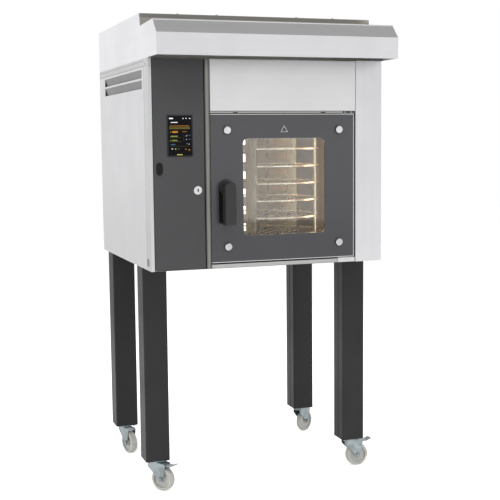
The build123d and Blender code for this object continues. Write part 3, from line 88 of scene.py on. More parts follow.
class Graph:
    """A thin layer over a node tree that makes and links nodes."""

    def __init__(self, tree: bpy.types.NodeTree) -> None:
        """Keeps the node tree that is filled."""
        self.tree = tree

    def add(self, kind: str, **settings: object) -> bpy.types.Node:
        """Adds a node.

        Args:
            kind: the node's type name.
            settings: properties of the node, set before its sockets are used.

        Returns:
            The new node.
        """
        node = self.tree.nodes.new(kind)
        for name, value in settings.items():
            setattr(node, name, value)
        return node

    def give(self, socket: bpy.types.NodeSocket, value: object) -> None:
        """Links an input to an output socket, or sets it to a plain value.

        Args:
            socket: the input.
            value: an output socket, a number or a tuple.
        """
        if isinstance(value, bpy.types.NodeSocket):
            self.tree.links.new(value, socket)
        elif socket.type == "RGBA":
            socket.default_value = (*value, 1.0)
        else:
            socket.default_value = value

    def feed(self, node: bpy.types.Node, **inputs: object) -> bpy.types.Node:
        """Gives a node's inputs by name, with underscores for spaces.

        Args:
            node: the node that is fed.
            inputs: a value or an output socket for each input.

        Returns:
            The same node.
        """
        for name, value in inputs.items():
            self.give(node.inputs[name.replace("_", " ")], value)
        return node

    def math(self, operation: str, a: object, b: object = 0.0, clamp: bool = False) -> bpy.types.NodeSocket:
        """Adds a Math node.

        Args:
            operation: the name of the operation.
            a: the first value or socket.
            b: the second value or socket.
            clamp: whether the result is held between 0 and 1.

        Returns:
            Its output socket.
        """
        node = self.add("ShaderNodeMath", operation=operation, use_clamp=clamp)
        for socket, value in zip(node.inputs, (a, b)):
            self.give(socket, value)
        return node.outputs[0]

    def vectors(self, operation: str, a: object, b: object) -> bpy.types.Node:
        """Adds a Vector Math node.

        Args:
            operation: the name of the operation.
            a: the first vector.
            b: the second vector.

        Returns:
            The node.
        """
        node = self.add("ShaderNodeVectorMath", operation=operation)
        self.give(node.inputs[0], a)
        self.give(node.inputs[1], b)
        return node

    def noise(self, vector: bpy.types.NodeSocket, scale: object, **more: float) -> bpy.types.NodeSocket:
        """Adds a Noise Texture, read at a vector, and gives its value's socket."""
        return self.feed(self.add("ShaderNodeTexNoise"), Vector=vector, Scale=scale, **more).outputs[0]

    def blend(self, factor: object, a: object, b: object) -> bpy.types.NodeSocket:
        """Mixes two colours.

        Args:
            factor: the share of the second colour.
            a: the first colour or socket.
            b: the second colour or socket.

        Returns:
            The mixed colour's socket.
        """
        node = self.add("ShaderNodeMix", data_type="RGBA")
        for index, value in ((0, factor), (6, a), (7, b)):
            self.give(node.inputs[index], value)
        return node.outputs[2]

    def remap(self, value: bpy.types.NodeSocket, low: float, high: float) -> bpy.types.NodeSocket:
        """Maps a value from low to high onto 0 to 1, held at the ends, and gives the socket."""
        node = self.add("ShaderNodeMapRange")
        return self.feed(node, Value=value, From_Min=low, From_Max=high).outputs[0]


class Effects:
    """The surface effects that several finishes share, each a node group built once."""

    @staticmethod
    def _open(name: str, inputs: dict[str, object], outputs: dict[str, Kind]) -> tuple[Graph, object, object]:
        """Starts a shader group with named sockets.

        Args:
            name: the group's name.
            inputs: each input's default, a number or a triple.
            outputs: each output's kind.

        Returns:
            The graph, what the group is given and what it puts out.
        """
        tree = bpy.data.node_groups.new(name, "ShaderNodeTree")
        for label, value in inputs.items():
            kind = Kind.VECTOR if isinstance(value, tuple) else Kind.FLOAT
            socket = tree.interface.new_socket(label, in_out="INPUT", socket_type=kind.value)
            socket.default_value = value
        for label, kind in outputs.items():
            tree.interface.new_socket(label, in_out="OUTPUT", socket_type=kind.value)
        g = Graph(tree)
        return g, g.add("NodeGroupInput").outputs, g.add("NodeGroupOutput").inputs

    @cached_property
    def brushing(self) -> bpy.types.NodeTree:
        """Streaks left by the belt on brushed sheet."""
        g, given, out = self._open(
            "brushing", {"Vector": NOUGHT, "Stretch": (1.0, 1.0, 0.02), "Fineness": 900.0},
            {"Streaks": Kind.FLOAT, "Bands": Kind.FLOAT})
        drawn = g.vectors("MULTIPLY", given["Vector"], given["Stretch"]).outputs[0]
        fine = g.noise(drawn, given["Fineness"], Detail=3.0, Roughness=0.65)
        wide = g.noise(drawn, g.math("MULTIPLY", given["Fineness"], 0.04), Detail=2.0)
        g.give(out["Streaks"], g.remap(fine, 0.3, 0.7))
        g.give(out["Bands"], g.remap(wide, 0.35, 0.65))
        return g.tree

    @cached_property
    def handling(self) -> bpy.types.NodeTree:
        """Cloudy marks of wiping and handling."""
        g, given, out = self._open("handling", {"Vector": NOUGHT, "Size": 5.0},
                                   {"Cloud": Kind.FLOAT, "Specks": Kind.FLOAT})
        cloud = g.noise(given["Vector"], given["Size"], Detail=4.0, Distortion=0.6)
        specks = g.noise(given["Vector"], g.math("MULTIPLY", given["Size"], 60.0), Detail=1.0)
        g.give(out["Cloud"], g.remap(cloud, 0.35, 0.65))
        g.give(out["Specks"], g.remap(specks, 0.66, 0.74))
        return g.tree

    @cached_property
    def rounding(self) -> bpy.types.NodeTree:
        """Softened edges of bent sheet and moulded pieces, and a mask of where they are."""
        g, given, out = self._open("rounding", {"Radius": 0.001}, {"Edge": Kind.FLOAT, "Normal": Kind.VECTOR})
        soft = g.feed(g.add("ShaderNodeBevel", samples=4), Radius=given["Radius"]).outputs[0]
        flat = g.add("ShaderNodeNewGeometry").outputs["True Normal"]
        g.give(out["Edge"], g.remap(g.vectors("DOT_PRODUCT", soft, flat).outputs["Value"], 0.995, 0.9))
        g.give(out["Normal"], soft)
        return g.tree

    @cached_property
    def underside(self) -> bpy.types.NodeTree:
        """Where a surface leans or looks downwards, as the slats of a louvre do: the mask of painted shade.
        """
        g, _, out = self._open("underside", {}, {"Below": Kind.FLOAT})
        facing = g.add("ShaderNodeSeparateXYZ")
        g.give(facing.inputs[0], g.add("ShaderNodeNewGeometry").outputs["True Normal"])
        g.give(out["Below"], g.remap(facing.outputs["Z"], -0.12, -0.2))
        return g.tree

    @cached_property
    def stripe(self) -> bpy.types.NodeTree:
        """A straight line or band across the object, toned apart: mostly painted shade along seams, bends and
        gaps.
        """
        g, given, out = self._open(
            "stripe", {"Vector": NOUGHT, "Direction": (0.0, 1.0, 0.0), "Place": 0.0, "Half Width": 0.001},
            {"Line": Kind.FLOAT})
        along = g.vectors("DOT_PRODUCT", given["Vector"], given["Direction"]).outputs["Value"]
        away = g.math("ABSOLUTE", g.math("SUBTRACT", along, given["Place"]))
        g.give(out["Line"], g.math("LESS_THAN", away, given["Half Width"]))
        return g.tree

    @cached_property
    def pebble(self) -> bpy.types.NodeTree:
        """The fine unevenness of baked powder paint or moulded plastic."""
        g, given, out = self._open("pebble", {"Vector": NOUGHT, "Fineness": 700.0}, {"Height": Kind.FLOAT})
        peel = g.add("ShaderNodeTexVoronoi", feature="SMOOTH_F1")
        g.feed(peel, Vector=given["Vector"], Scale=given["Fineness"])
        g.give(out["Height"], peel.outputs["Distance"])
        return g.tree

    @staticmethod
    def place(g: Graph, group: bpy.types.NodeTree, **inputs: object) -> object:
        """Places a group in a material with its own values, and gives what it puts out."""
        return g.feed(g.add("ShaderNodeGroup", node_tree=group), **inputs).outputs


EFFECTS = Effects()


# ---------------------------------------------------------------- finishes


def toned(colour: Colour, factor: float) -> Colour:
    """A darker or lighter tone of a colour."""
    return tuple(c * factor for c in colour)


@dataclass(frozen=True)
class Stripe:
    """A line or band that is toned apart, in the row frame."""

    axis: Axis
    place: float
    half_width: float
    colour: Colour = (0.02, 0.02, 0.02)
    strength: float = 0.6


@dataclass(frozen=True)
class Surface:
    """A material of the oven, built once under its name."""

    name: str
    colour: Colour

    def fill(self, g: Graph, shader: bpy.types.Node, place: bpy.types.NodeSocket) -> None:
        """Feeds the material's Principled BSDF from the place in the row frame."""
        raise NotImplementedError

    def make(self) -> bpy.types.Material:
        """Gives the material, built the first time.

        Returns:
            The material.
        """
        if self.name in bpy.data.materials:
            return bpy.data.materials[self.name]
        material = bpy.data.materials.new(self.name)
        material.use_nodes = True
        g = Graph(material.node_tree)
        shader = material.node_tree.nodes["Principled BSDF"]
        self.fill(g, shader, g.add("ShaderNodeTexCoord").outputs["Object"])
        return material


@dataclass(frozen=True)
class Finish(Surface):
    """A painted, plated, brushed or moulded surface."""

    metallic: float = 0.0
    roughness: float = 0.5
    grain: Grain = Grain.NONE
    fineness: float = 900.0
    streak: float = 0.0        # how much streaks change the roughness
    bands: float = 0.0         # how much broad streaks change the colour
    cloud: float = 0.05        # how much wiping marks change the colour
    cloud_size: float = 5.0
    specks: float = 0.0
    pebble: float = 0.0        # height of the unevenness, in metres
    pebble_fineness: float = 700.0
    scratch: float = 0.0       # height of the brushing, in metres
    wear: float = 0.0          # how much edges take the worn colour
    worn: Colour = (0.6, 0.6, 0.6)
    edge: float = 0.001
    coat: float = 0.0
    coat_roughness: float = 0.1
    specular: float = 0.5
    subsurface: float = 0.0
    shade_below: float = 0.0   # how much painted shade darkens faces that look down
    glow: float = 0.0          # how much light it gives to the camera alone
    stripes: tuple[Stripe, ...] = ()
    shadow: Colour = (0.02, 0.02, 0.02)
    polish: float = 0.06       # how much wiping marks change the roughness

    def tint(self, g: Graph, place: bpy.types.NodeSocket, brushed: object, marks: object,
             edge: bpy.types.NodeSocket) -> bpy.types.NodeSocket:
        """Mixes the colour over the surface, with painted shade on faces that look down and along stripes.

        Args:
            g: the material's graph.
            place: where a point lies in the row frame.
            brushed: the outputs of the brushing.
            marks: the outputs of the handling.
            edge: the mask of the edges.

        Returns:
            The colour's socket.
        """
        tint = g.blend(marks["Cloud"], self.colour, toned(self.colour, 1.0 - self.cloud))
        if self.bands:
            banded = toned(self.colour, 1.0 - self.bands)
            tint = g.blend(g.math("MULTIPLY", brushed["Bands"], 0.5), tint, banded)
        if self.specks:
            spot = tuple(min(1.0, c * 1.6 + 0.02) for c in self.colour)
            tint = g.blend(g.math("MULTIPLY", marks["Specks"], self.specks), tint, spot)
        if self.wear:
            rubbed = g.math("MULTIPLY", edge, marks["Cloud"])
            tint = g.blend(g.math("MULTIPLY", rubbed, self.wear), tint, self.worn)
        if self.shade_below:
            below = EFFECTS.place(g, EFFECTS.underside)["Below"]
            tint = g.blend(g.math("MULTIPLY", below, self.shade_below), tint, self.shadow)
        for stripe in self.stripes:
            direction = tuple(float(i == stripe.axis.value) for i in range(3))
            line = EFFECTS.place(g, EFFECTS.stripe, Vector=place, Direction=direction, Place=stripe.place,
                                 Half_Width=stripe.half_width)["Line"]
            tint = g.blend(g.math("MULTIPLY", line, stripe.strength), tint, stripe.colour)
        return tint

    def fill(self, g: Graph, shader: bpy.types.Node, place: bpy.types.NodeSocket) -> None:
        """Feeds the material's shader.

        Args:
            g: the material's graph.
            shader: its Principled BSDF.
            place: where a point lies in the row frame.
        """
        brushed = EFFECTS.place(g, EFFECTS.brushing, Vector=place, Stretch=self.grain.value,
                                Fineness=self.fineness)
        marks = EFFECTS.place(g, EFFECTS.handling, Vector=place, Size=self.cloud_size)
        soft = EFFECTS.place(g, EFFECTS.rounding, Radius=self.edge)
        tint = self.tint(g, place, brushed, marks, soft["Edge"])
        g.feed(shader, Base_Color=tint)
        if self.glow:
            seen = g.add("ShaderNodeLightPath").outputs["Is Camera Ray"]
            g.feed(shader, Emission_Color=tint, Emission_Strength=g.math("MULTIPLY", seen, self.glow))
        rough = g.math("MULTIPLY_ADD", brushed["Streaks"], self.streak)
        rough.node.inputs[2].default_value = self.roughness
        polish = g.math("MULTIPLY", marks["Cloud"], self.polish)
        g.feed(shader, Roughness=g.math("ADD", rough, polish, clamp=True))
        height = g.math("MULTIPLY", brushed["Streaks"], self.scratch)
        if self.pebble:
            grit = EFFECTS.place(g, EFFECTS.pebble, Vector=place, Fineness=self.pebble_fineness)["Height"]
            height = g.math("ADD", height, g.math("MULTIPLY", grit, self.pebble))
        bump = g.add("ShaderNodeBump")
        g.feed(bump, Height=height, Distance=1.0, Strength=1.0, Normal=soft["Normal"])
        g.feed(shader, Normal=bump.outputs[0], Metallic=self.metallic, Coat_Weight=self.coat,
               Coat_Roughness=self.coat_roughness, Specular_IOR_Level=self.specular,
               Subsurface_Weight=self.subsurface)
        if self.subsurface:
            g.feed(shader, Subsurface_Scale=0.01)


@dataclass(frozen=True)
class ClearGlass(Surface):
    """Toughened glass that is seen through, with faint wiping marks."""

    colour: Colour = (0.97, 0.985, 0.975)

    def fill(self, g: Graph, shader: bpy.types.Node, place: bpy.types.NodeSocket) -> None:
        """Feeds the glass's shader.

        Args:
            g: the material's graph.
            shader: its Principled BSDF.
            place: where a point lies in the row frame.
        """
        cloud = EFFECTS.place(g, EFFECTS.handling, Vector=place, Size=7.0)["Cloud"]
        wiped = g.blend(g.math("MULTIPLY", cloud, 0.5), self.colour, toned(self.colour, 0.99))
        g.feed(shader, Base_Color=wiped, Roughness=g.math("MULTIPLY", cloud, 0.02))
        g.feed(shader, Transmission_Weight=1.0, IOR=1.45, Metallic=0.0)


@dataclass(frozen=True)
class Glow(Surface):
    """A surface that gives light: the lamp lens or a lit patch of the display."""

    strength: float
    ribs: float = 0.0       # ribs per metre of a moulded lens, none on a display

    def fill(self, g: Graph, shader: bpy.types.Node, place: bpy.types.NodeSocket) -> None:
        """Feeds the glowing surface's shader.

        Args:
            g: the material's graph.
            shader: its Principled BSDF.
            place: where a point lies in the row frame.
        """
        dim = toned(self.colour, 0.8)
        tint = g.blend(EFFECTS.place(g, EFFECTS.handling, Vector=place, Size=90.0)["Cloud"], self.colour, dim)
        if self.ribs:
            wave = g.feed(g.add("ShaderNodeTexWave", bands_direction="Z"), Vector=place, Scale=self.ribs)
            tint = g.blend(g.math("MULTIPLY", wave.outputs[0], 0.2), tint, dim)
        g.feed(shader, Base_Color=tint, Roughness=0.4, Specular_IOR_Level=0.1, Emission_Color=tint,
               Emission_Strength=self.strength)


@dataclass(frozen=True)
class Wool(Surface):
    """Mineral wool: matted fibres with a soft broken surface."""

    colour: Colour = (0.52, 0.45, 0.27)

    def fill(self, g: Graph, shader: bpy.types.Node, place: bpy.types.NodeSocket) -> None:
        """Feeds the wool's shader.

        Args:
            g: the material's graph.
            shader: its Principled BSDF.
            place: where a point lies in the row frame.
        """
        cloud = EFFECTS.place(g, EFFECTS.handling, Vector=place, Size=30.0)["Cloud"]
        fibres = g.noise(place, 260.0, Detail=6.0, Distortion=3.0)
        tint = g.blend(fibres, self.colour, toned(self.colour, 0.45))
        tint = g.blend(g.math("MULTIPLY", cloud, 0.4), tint, toned(self.colour, 0.7))
        bump = g.feed(g.add("ShaderNodeBump"), Height=fibres, Distance=0.002, Strength=0.8)
        g.feed(shader, Base_Color=tint, Roughness=0.95, Sheen_Weight=0.3, Normal=bump.outputs[0])


def steel(name: str, colour: Colour, grain: Grain, roughness: float = 0.32, **more: float) -> Finish:
    """A brushed stainless sheet, with any other values of its finish."""
    values = {"metallic": 1.0, "streak": 0.1, "bands": 0.05, "cloud": 0.03, "scratch": 0.000012, "wear": 0.3,
              "worn": (0.86, 0.86, 0.87), "edge": 0.0012}
    return Finish(name, colour, roughness=roughness, grain=grain, **{**values, **more})


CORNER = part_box("corner_post")
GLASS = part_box("door_outer_glass")
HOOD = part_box("hood_cheeks")
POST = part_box("centre_post")
SILL_TOP = GLASS[0].z - 0.003
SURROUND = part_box("door_surround")
HEAD_FOOT = GLASS[1].z + 0.0025
HEAD_TOP = SURROUND[1].z
# Painted shade in the seams of the side: behind the corner post, 22 mm behind its front and under the top
# rail.
SIDE_SEAM_SHADE = (Stripe(Axis.Y, CORNER[1].y + 0.0003, 0.0016, strength=0.5),
              Stripe(Axis.Y, CORNER[0].y + 0.0225, 0.0010, (0.3, 0.3, 0.3), 0.45),
              Stripe(Axis.Z, CORNER[1].z - 0.0305, 0.0012, (0.2, 0.2, 0.2), 0.35))
# Painted shade in the gaps under and above the door glass and along the top of the surround, and a darker
# band low on the sill.
SURROUND_SHADE = (Stripe(Axis.Z, SILL_TOP, 0.0036, strength=0.97),
              Stripe(Axis.Z, HEAD_FOOT, 0.0014, strength=0.85),
              Stripe(Axis.Z, HEAD_TOP, 0.0012, strength=0.8),
              Stripe(Axis.Z, CORNER[0].z + 0.0095, 0.0070, (0.52, 0.52, 0.52), 1.0))
# Painted shade along both edges of the centre post.
POST_EDGE_SHADE = (Stripe(Axis.X, POST[1].x - 0.0035, 0.0014, strength=0.5),
              Stripe(Axis.X, POST[0].x + 0.0020, 0.0022, strength=0.55))
COVER_LINES = (Stripe(Axis.Y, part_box("hood_cover")[0].y, 0.009, (0.40, 0.385, 0.345), 1.0),)
HOOD_LINES = (Stripe(Axis.Y, HOOD[1].y - 0.142, 0.0013, (0.3, 0.3, 0.3), 0.35),)

STEEL_SIDE = steel("stainless_side", (0.77, 0.77, 0.785), Grain.UPRIGHT, 0.38, shade_below=0.62,
                   stripes=SIDE_SEAM_SHADE)
STEEL_CORNER = steel("corner_brushed", (0.69, 0.69, 0.70), Grain.UPRIGHT, 0.38, shade_below=0.62,
                     stripes=SIDE_SEAM_SHADE)
STEEL_FRONT = steel("stainless_front", (0.79, 0.79, 0.81), Grain.UPRIGHT, 0.4)
STEEL_FASCIA = steel("stainless_fascia", (0.80, 0.80, 0.81), Grain.ACROSS, 0.4)
STEEL_BACK = steel("stainless_back", (0.66, 0.66, 0.68), Grain.UPRIGHT, 0.42)
STEEL_ROOF = steel("stainless_roof", (0.64, 0.64, 0.65), Grain.ALONG, 0.36)
STEEL_HOOD = steel("hood_brushed", (0.81, 0.81, 0.83), Grain.ACROSS, 0.36)
STEEL_CHEEK = steel("hood_side_brushed", (0.89, 0.89, 0.91), Grain.ALONG, 0.36, stripes=HOOD_LINES)
STEEL_COVER = steel("hood_top_brushed", (0.66, 0.66, 0.67), Grain.ACROSS, 0.4, stripes=COVER_LINES)
STEEL_POST = steel("post_bright", (0.29, 0.285, 0.265), Grain.UPRIGHT, 0.3, worn=(0.6, 0.6, 0.58),
                   stripes=POST_EDGE_SHADE)
STEEL_SURROUND = steel("surround_bright", (0.46, 0.455, 0.43), Grain.ACROSS, 0.3, stripes=SURROUND_SHADE)
STEEL_BRACKET = steel("bracket_bright", (0.80, 0.80, 0.80), Grain.NONE, 0.3, cloud=0.15, cloud_size=30.0)
STEEL_LINER = steel("liner_baked", (0.63, 0.52, 0.40), Grain.ACROSS, 0.34, cloud=0.12, cloud_size=9.0)
STEEL_RACK = steel("rack_steel", (0.36, 0.36, 0.32), Grain.UPRIGHT, 0.16)
STEEL_DOOR = steel("door_pan_steel", (0.60, 0.59, 0.57), Grain.UPRIGHT, 0.34)
STEEL_MILD = Finish("frame_steel", (0.30, 0.30, 0.31), metallic=1.0, roughness=0.5, grain=Grain.UPRIGHT,
                    streak=0.1, cloud=0.2, scratch=0.00002, wear=0.4)
PANEL_PAINT = Finish("panel_powder", (0.051, 0.051, 0.054), roughness=0.46, cloud=0.05, specks=0.1,
                     pebble=0.00003, wear=0.25, worn=(0.2, 0.2, 0.21), edge=0.002, specular=0.4)
LEG_PAINT = Finish("leg_powder", (0.019, 0.019, 0.019), roughness=0.42, specular=0.28, cloud=0.12,
                   specks=0.15, pebble=0.00005, wear=0.35, worn=(0.14, 0.14, 0.14), edge=0.002)
ZINC = Finish("zinc_plate", (0.38, 0.43, 0.45), metallic=1.0, roughness=0.26, cloud=0.3, cloud_size=35.0,
              specks=0.2, wear=0.4, worn=(0.8, 0.8, 0.78), edge=0.0008)
NYLON = Finish("wheel_nylon", (0.47, 0.475, 0.445), roughness=0.42, cloud=0.12, cloud_size=40.0,
               pebble=0.00004, wear=0.5, worn=(0.35, 0.34, 0.32), edge=0.002, subsurface=0.25)
ENAMEL = Finish("door_enamel", (0.056, 0.056, 0.062), roughness=0.12, cloud=0.03, specks=0.05, edge=0.0006,
                coat=0.1, coat_roughness=0.03)
GROUND_EDGE = Finish("glass_ground_edge", (0.55, 0.58, 0.57), roughness=0.25, cloud=0.1, cloud_size=40.0,
                     pebble=0.00002, pebble_fineness=1500.0)
SEAL_RUBBER = Finish("seal_silicone", (0.03, 0.03, 0.03), roughness=0.6, cloud=0.2, pebble=0.00004)
CAP_RUBBER = Finish("cap_rubber_black", (0.011, 0.011, 0.012), roughness=0.6, specular=0.15, cloud=0.15,
                    pebble=0.00003)
BLACK_PLASTIC = Finish("moulded_black", (0.018, 0.018, 0.019), roughness=0.4, cloud=0.15, cloud_size=20.0,
                       pebble=0.00004, pebble_fineness=1200.0, wear=0.3, worn=(0.06, 0.06, 0.06), edge=0.0015)
GREY_PLASTIC = Finish("moulded_grey", (0.15, 0.155, 0.16), roughness=0.45, cloud=0.1, cloud_size=20.0,
                      pebble=0.00004, wear=0.2)
CHROME = Finish("polished_chrome", (0.78, 0.78, 0.79), metallic=1.0, roughness=0.16, cloud=0.06,
                cloud_size=40.0, wear=0.2, worn=(0.95, 0.95, 0.95), edge=0.0006)
SHELF_CHROME = Finish("shelf_wire", (0.88, 0.80, 0.68), metallic=1.0, roughness=0.24, cloud=0.15,
                      cloud_size=25.0, wear=0.3, worn=(0.95, 0.9, 0.8), edge=0.0006)
BRASS = Finish("turned_brass", (0.70, 0.52, 0.22), metallic=1.0, roughness=0.3, cloud=0.2, cloud_size=40.0)
MOTOR_IRON = Finish("motor_cast", (0.09, 0.10, 0.12), roughness=0.6, metallic=0.2, cloud=0.2, pebble=0.00015,
                    pebble_fineness=400.0, wear=0.3)
SCREEN = Finish("display_black", (0.004, 0.004, 0.005), roughness=0.15, cloud=0.1, specular=0.08)
DISPLAY_FRAME = Finish("display_edge", (0.028, 0.028, 0.030), roughness=0.5, cloud=0.1, specular=0.12,
                       pebble=0.00002)
# Painted shade on the glass beside the door handle.
HANDLE_SHADE_BLACK = Finish("handle_side_shade", (0.007, 0.006, 0.006), roughness=0.6, cloud=0.2, cloud_size=20.0,
                     specular=0.12, pebble=0.00003, pebble_fineness=1200.0)
PRINT_WHITE = Finish("screen_print", (0.62, 0.62, 0.63), roughness=0.5, cloud=0.05, pebble=0.00001)
SHADOW_BLACK = Finish("gap_black", (0.008, 0.008, 0.008), roughness=0.8, cloud=0.1)
WINDOW_GLASS = ClearGlass("window_clear")
LAMP_LENS = Glow("lamp_lens", (1.0, 0.93, 0.82), 2.5, ribs=40.0)
WOOL = Wool("mineral_wool")

NODE_FINISH: dict[str, Surface] = {
    "side_panel_left": STEEL_SIDE, "side_panel_right": STEEL_SIDE, "corner_post": STEEL_CORNER,
    "front_column": STEEL_FRONT, "fascia": STEEL_FASCIA, "rear_panel": STEEL_BACK, "roof_panel": STEEL_ROOF,
    "hood_cheeks": STEEL_CHEEK, "hood_visor": STEEL_HOOD, "hood_cover": STEEL_COVER,
    "flue_collar": STEEL_ROOF,
    "centre_post": STEEL_POST, "door_surround": STEEL_SURROUND, "chamber_liner": STEEL_LINER,
    "air_baffle": STEEL_LINER, "fan_wheel": STEEL_LINER, "steam_duct": STEEL_LINER,
    "steam_injector": STEEL_LINER,
    "rack_frame": STEEL_RACK, "rack_shelves": SHELF_CHROME, "door_pan": STEEL_DOOR,
    "window_frame": STEEL_DOOR, "key_lock": CHROME, "hinge_brackets": STEEL_BRACKET,
    "display_bezel": DISPLAY_FRAME, "glass_studs": CHROME,
}
SLOT_FINISH: dict[str, Surface] = {
    "stainless": STEEL_SIDE, "liner_steel": STEEL_LINER, "post_steel": STEEL_POST, "hood_steel": STEEL_HOOD,
    "panel_paint": PANEL_PAINT, "leg_paint": LEG_PAINT, "mild_steel": STEEL_MILD, "zinc": ZINC,
    "nylon": NYLON, "glass_dark": ENAMEL, "glass_clear": WINDOW_GLASS, "seal": SEAL_RUBBER,
    "cap_rubber": CAP_RUBBER, "wool": WOOL, "black_plastic": BLACK_PLASTIC,
    "grey_plastic": GREY_PLASTIC, "screen": SCREEN, "chrome": CHROME,
    "brass": BRASS, "lamp": LAMP_LENS, "motor_iron": MOTOR_IRON,
}


# ---------------------------------------------------------------- mesh work


def arc(radius: float, start: float, turn: float, steps: int, centre: Pair = (0.0, 0.0)) -> list[Pair]:
    """Points along an arc that starts at an angle and covers a turn, both in radians."""
    angles = [start + turn * i / steps for i in range(steps + 1)]
    return [(centre[0] + radius * math.cos(a), centre[1] + radius * math.sin(a)) for a in angles]


def rounded_outline(width: float, height: float, radius: float, steps: int = 8) -> list[Pair]:
    """Points round a rectangle with rounded corners, centred, anticlockwise.

    Args:
        width: the full width.
        height: the full height.
        radius: the corner radius.
        steps: the parts of each corner.

    Returns:
        The points.
    """
    points = []
    for turn, (sx, sy) in enumerate(((1, 1), (-1, 1), (-1, -1), (1, -1))):
        centre = (sx * (width / 2 - radius), sy * (height / 2 - radius))
        points += arc(radius, math.pi / 2 * turn, math.pi / 2, steps, centre)
    return points


class Shape:
    """A mesh under construction, made of closed shells."""

    def __init__(self) -> None:
        """Starts an empty mesh."""
        self.bm = bmesh.new()

    def block(self, lo: Point, hi: Point, bevel: float = 0.0) -> "Shape":
        """Adds a block, with its edges broken or sharp.

        Args:
            lo: its lowest corner.
            hi: its highest corner.
            bevel: the width that is taken off its edges.

        Returns:
            This shape.
        """
        made = bmesh.ops.create_cube(self.bm, size=1.0)["verts"]
        for v in made:
            v.co = Vector([lo[i] if v.co[i] < 0 else hi[i] for i in range(3)])
        if bevel:
            edges = list({e for v in made for e in v.link_edges})
            bmesh.ops.bevel(self.bm, geom=edges, offset=bevel, segments=1, affect="EDGES", profile=0.5)
        return self

    def ring(self, outline: list[Pair], axis: Axis, level: float, centre: Pair = (0.0, 0.0)) -> list[object]:
        """Adds the points of an outline at one level.

        Args:
            outline: the points, on the other two axes in order.
            axis: the axis that the outline is square to.
            level: the place on that axis.
            centre: what is added to each point.

        Returns:
            The vertices.
        """
        made = []
        for a, b in outline:
            co = [a + centre[0], b + centre[1]]
            co.insert(axis.value, level)
            made.append(self.bm.verts.new(co))
        return made

    def walls(self, rings: list[list[object]]) -> None:
        """Adds the faces between rings that follow each other.

        Args:
            rings: the rings, with as many vertices each.
        """
        for one, two in zip(rings, rings[1:]):
            for i in range(len(one)):
                j = (i + 1) % len(one)
                self.bm.faces.new((one[i], one[j], two[j], two[i]))

    def closed(self, rings: list[list[object]]) -> "Shape":
        """Adds the walls and both ends of a solid.

        Args:
            rings: its rings, from one end to the other.

        Returns:
            This shape.
        """
        self.walls(rings)
        self.bm.faces.new(rings[0][::-1])
        self.bm.faces.new(rings[-1])
        return self

    def prism(self, outline: list[Pair], axis: Axis, start: float, end: float,
              centre: Pair = (0.0, 0.0)) -> "Shape":
        """Adds a closed prism along an axis, from start to end, its outline moved to a centre."""
        return self.closed([self.ring(outline, axis, level, centre) for level in (start, end)])

    def turned(self, profile: list[Pair], centre: Point, axis: Axis, segments: int) -> "Shape":
        """Adds a closed turned piece.

        Args:
            profile: radius and height of each ring, from one end to the other.
            centre: the place of height nought.
            axis: the axis of turning.
            segments: the parts of a turn.

        Returns:
            This shape.
        """
        side = list(centre)
        foot = side.pop(axis.value)
        full = 2 * math.pi
        return self.closed([self.ring(arc(radius, 0.0, full, segments)[:-1], axis, foot + height, side)
                            for radius, height in profile])

    def band(self, outer: list[Pair], inner: list[Pair], start: float, end: float, centre: Pair) -> "Shape":
        """Adds a closed band along Y between two outlines with as many points each.

        Args:
            outer: the outer outline.
            inner: the inner outline.
            start: where its depth starts.
            end: where it ends.
            centre: what is added to each point.

        Returns:
            This shape.
        """
        loops = [self.ring(outline, Axis.Y, level, centre)
                 for outline, level in ((outer, start), (outer, end), (inner, end), (inner, start))]
        self.walls(loops + loops[:1])
        return self

    def mesh(self, name: str) -> bpy.types.Mesh:
        """Ends the work and gives the mesh, with its faces outwards.

        Args:
            name: the mesh's name.

        Returns:
            The mesh.
        """
        bmesh.ops.recalc_face_normals(self.bm, faces=self.bm.faces)
        mesh = bpy.data.meshes.new(name)
        self.bm.to_mesh(mesh)
        self.bm.free()
        return mesh


def linked(name: str, data: object) -> bpy.types.Object:
    """Makes an object and puts it in the scene.

    Args:
        name: its name.
        data: its mesh, light or camera.

    Returns:
        The object.
    """
    obj = bpy.data.objects.new(name, data)
    bpy.context.collection.objects.link(obj)
    return obj


def evaluated(obj: bpy.types.Object) -> bpy.types.Mesh:
    """A plain mesh of an object as its modifiers leave it."""
    bpy.context.view_layer.update()
    return bpy.data.meshes.new_from_object(obj.evaluated_get(bpy.context.evaluated_depsgraph_get()))


@dataclass
class Piece:
    """A finished piece: its name, finish, slot name and the body that it rides on."""

    name: str
    finish: Surface
    slot: str
    body: str

    def place(self, mesh: bpy.types.Mesh, smooth: bool = True) -> bpy.types.Object:
        """Makes the object, dresses it and lets it ride on its body.

        Args:
            mesh: the piece's mesh, already in the row frame.
            smooth: whether gentle edges are shaded smooth.

        Returns:
            The object.
        """
        mesh.name = self.name
        obj = linked(self.name, mesh)
        mesh.materials.clear()
        mesh.materials.append(self.finish.make())
        if smooth:
            mesh.shade_smooth()
            mesh.set_sharp_from_angle(angle=math.radians(35.0))
        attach(obj, self.body)
        log.info("%s: %d faces on %s", self.name, len(mesh.polygons), self.body)
        return obj


def node_copy(node: str) -> bpy.types.Mesh:
    """A merged copy of a CAD node's mesh, ready to be cut.

    Args:
        node: the node's name.

    Returns:
        The mesh.
    """
    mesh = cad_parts[node].data.copy()
    bm = bmesh.new()
    bm.from_mesh(mesh)
    bmesh.ops.remove_doubles(bm, verts=bm.verts, dist=1e-6)
    bmesh.ops.dissolve_limit(bm, angle_limit=0.01, verts=bm.verts, edges=bm.edges)
    bm.to_mesh(mesh)
    bm.free()
    return mesh


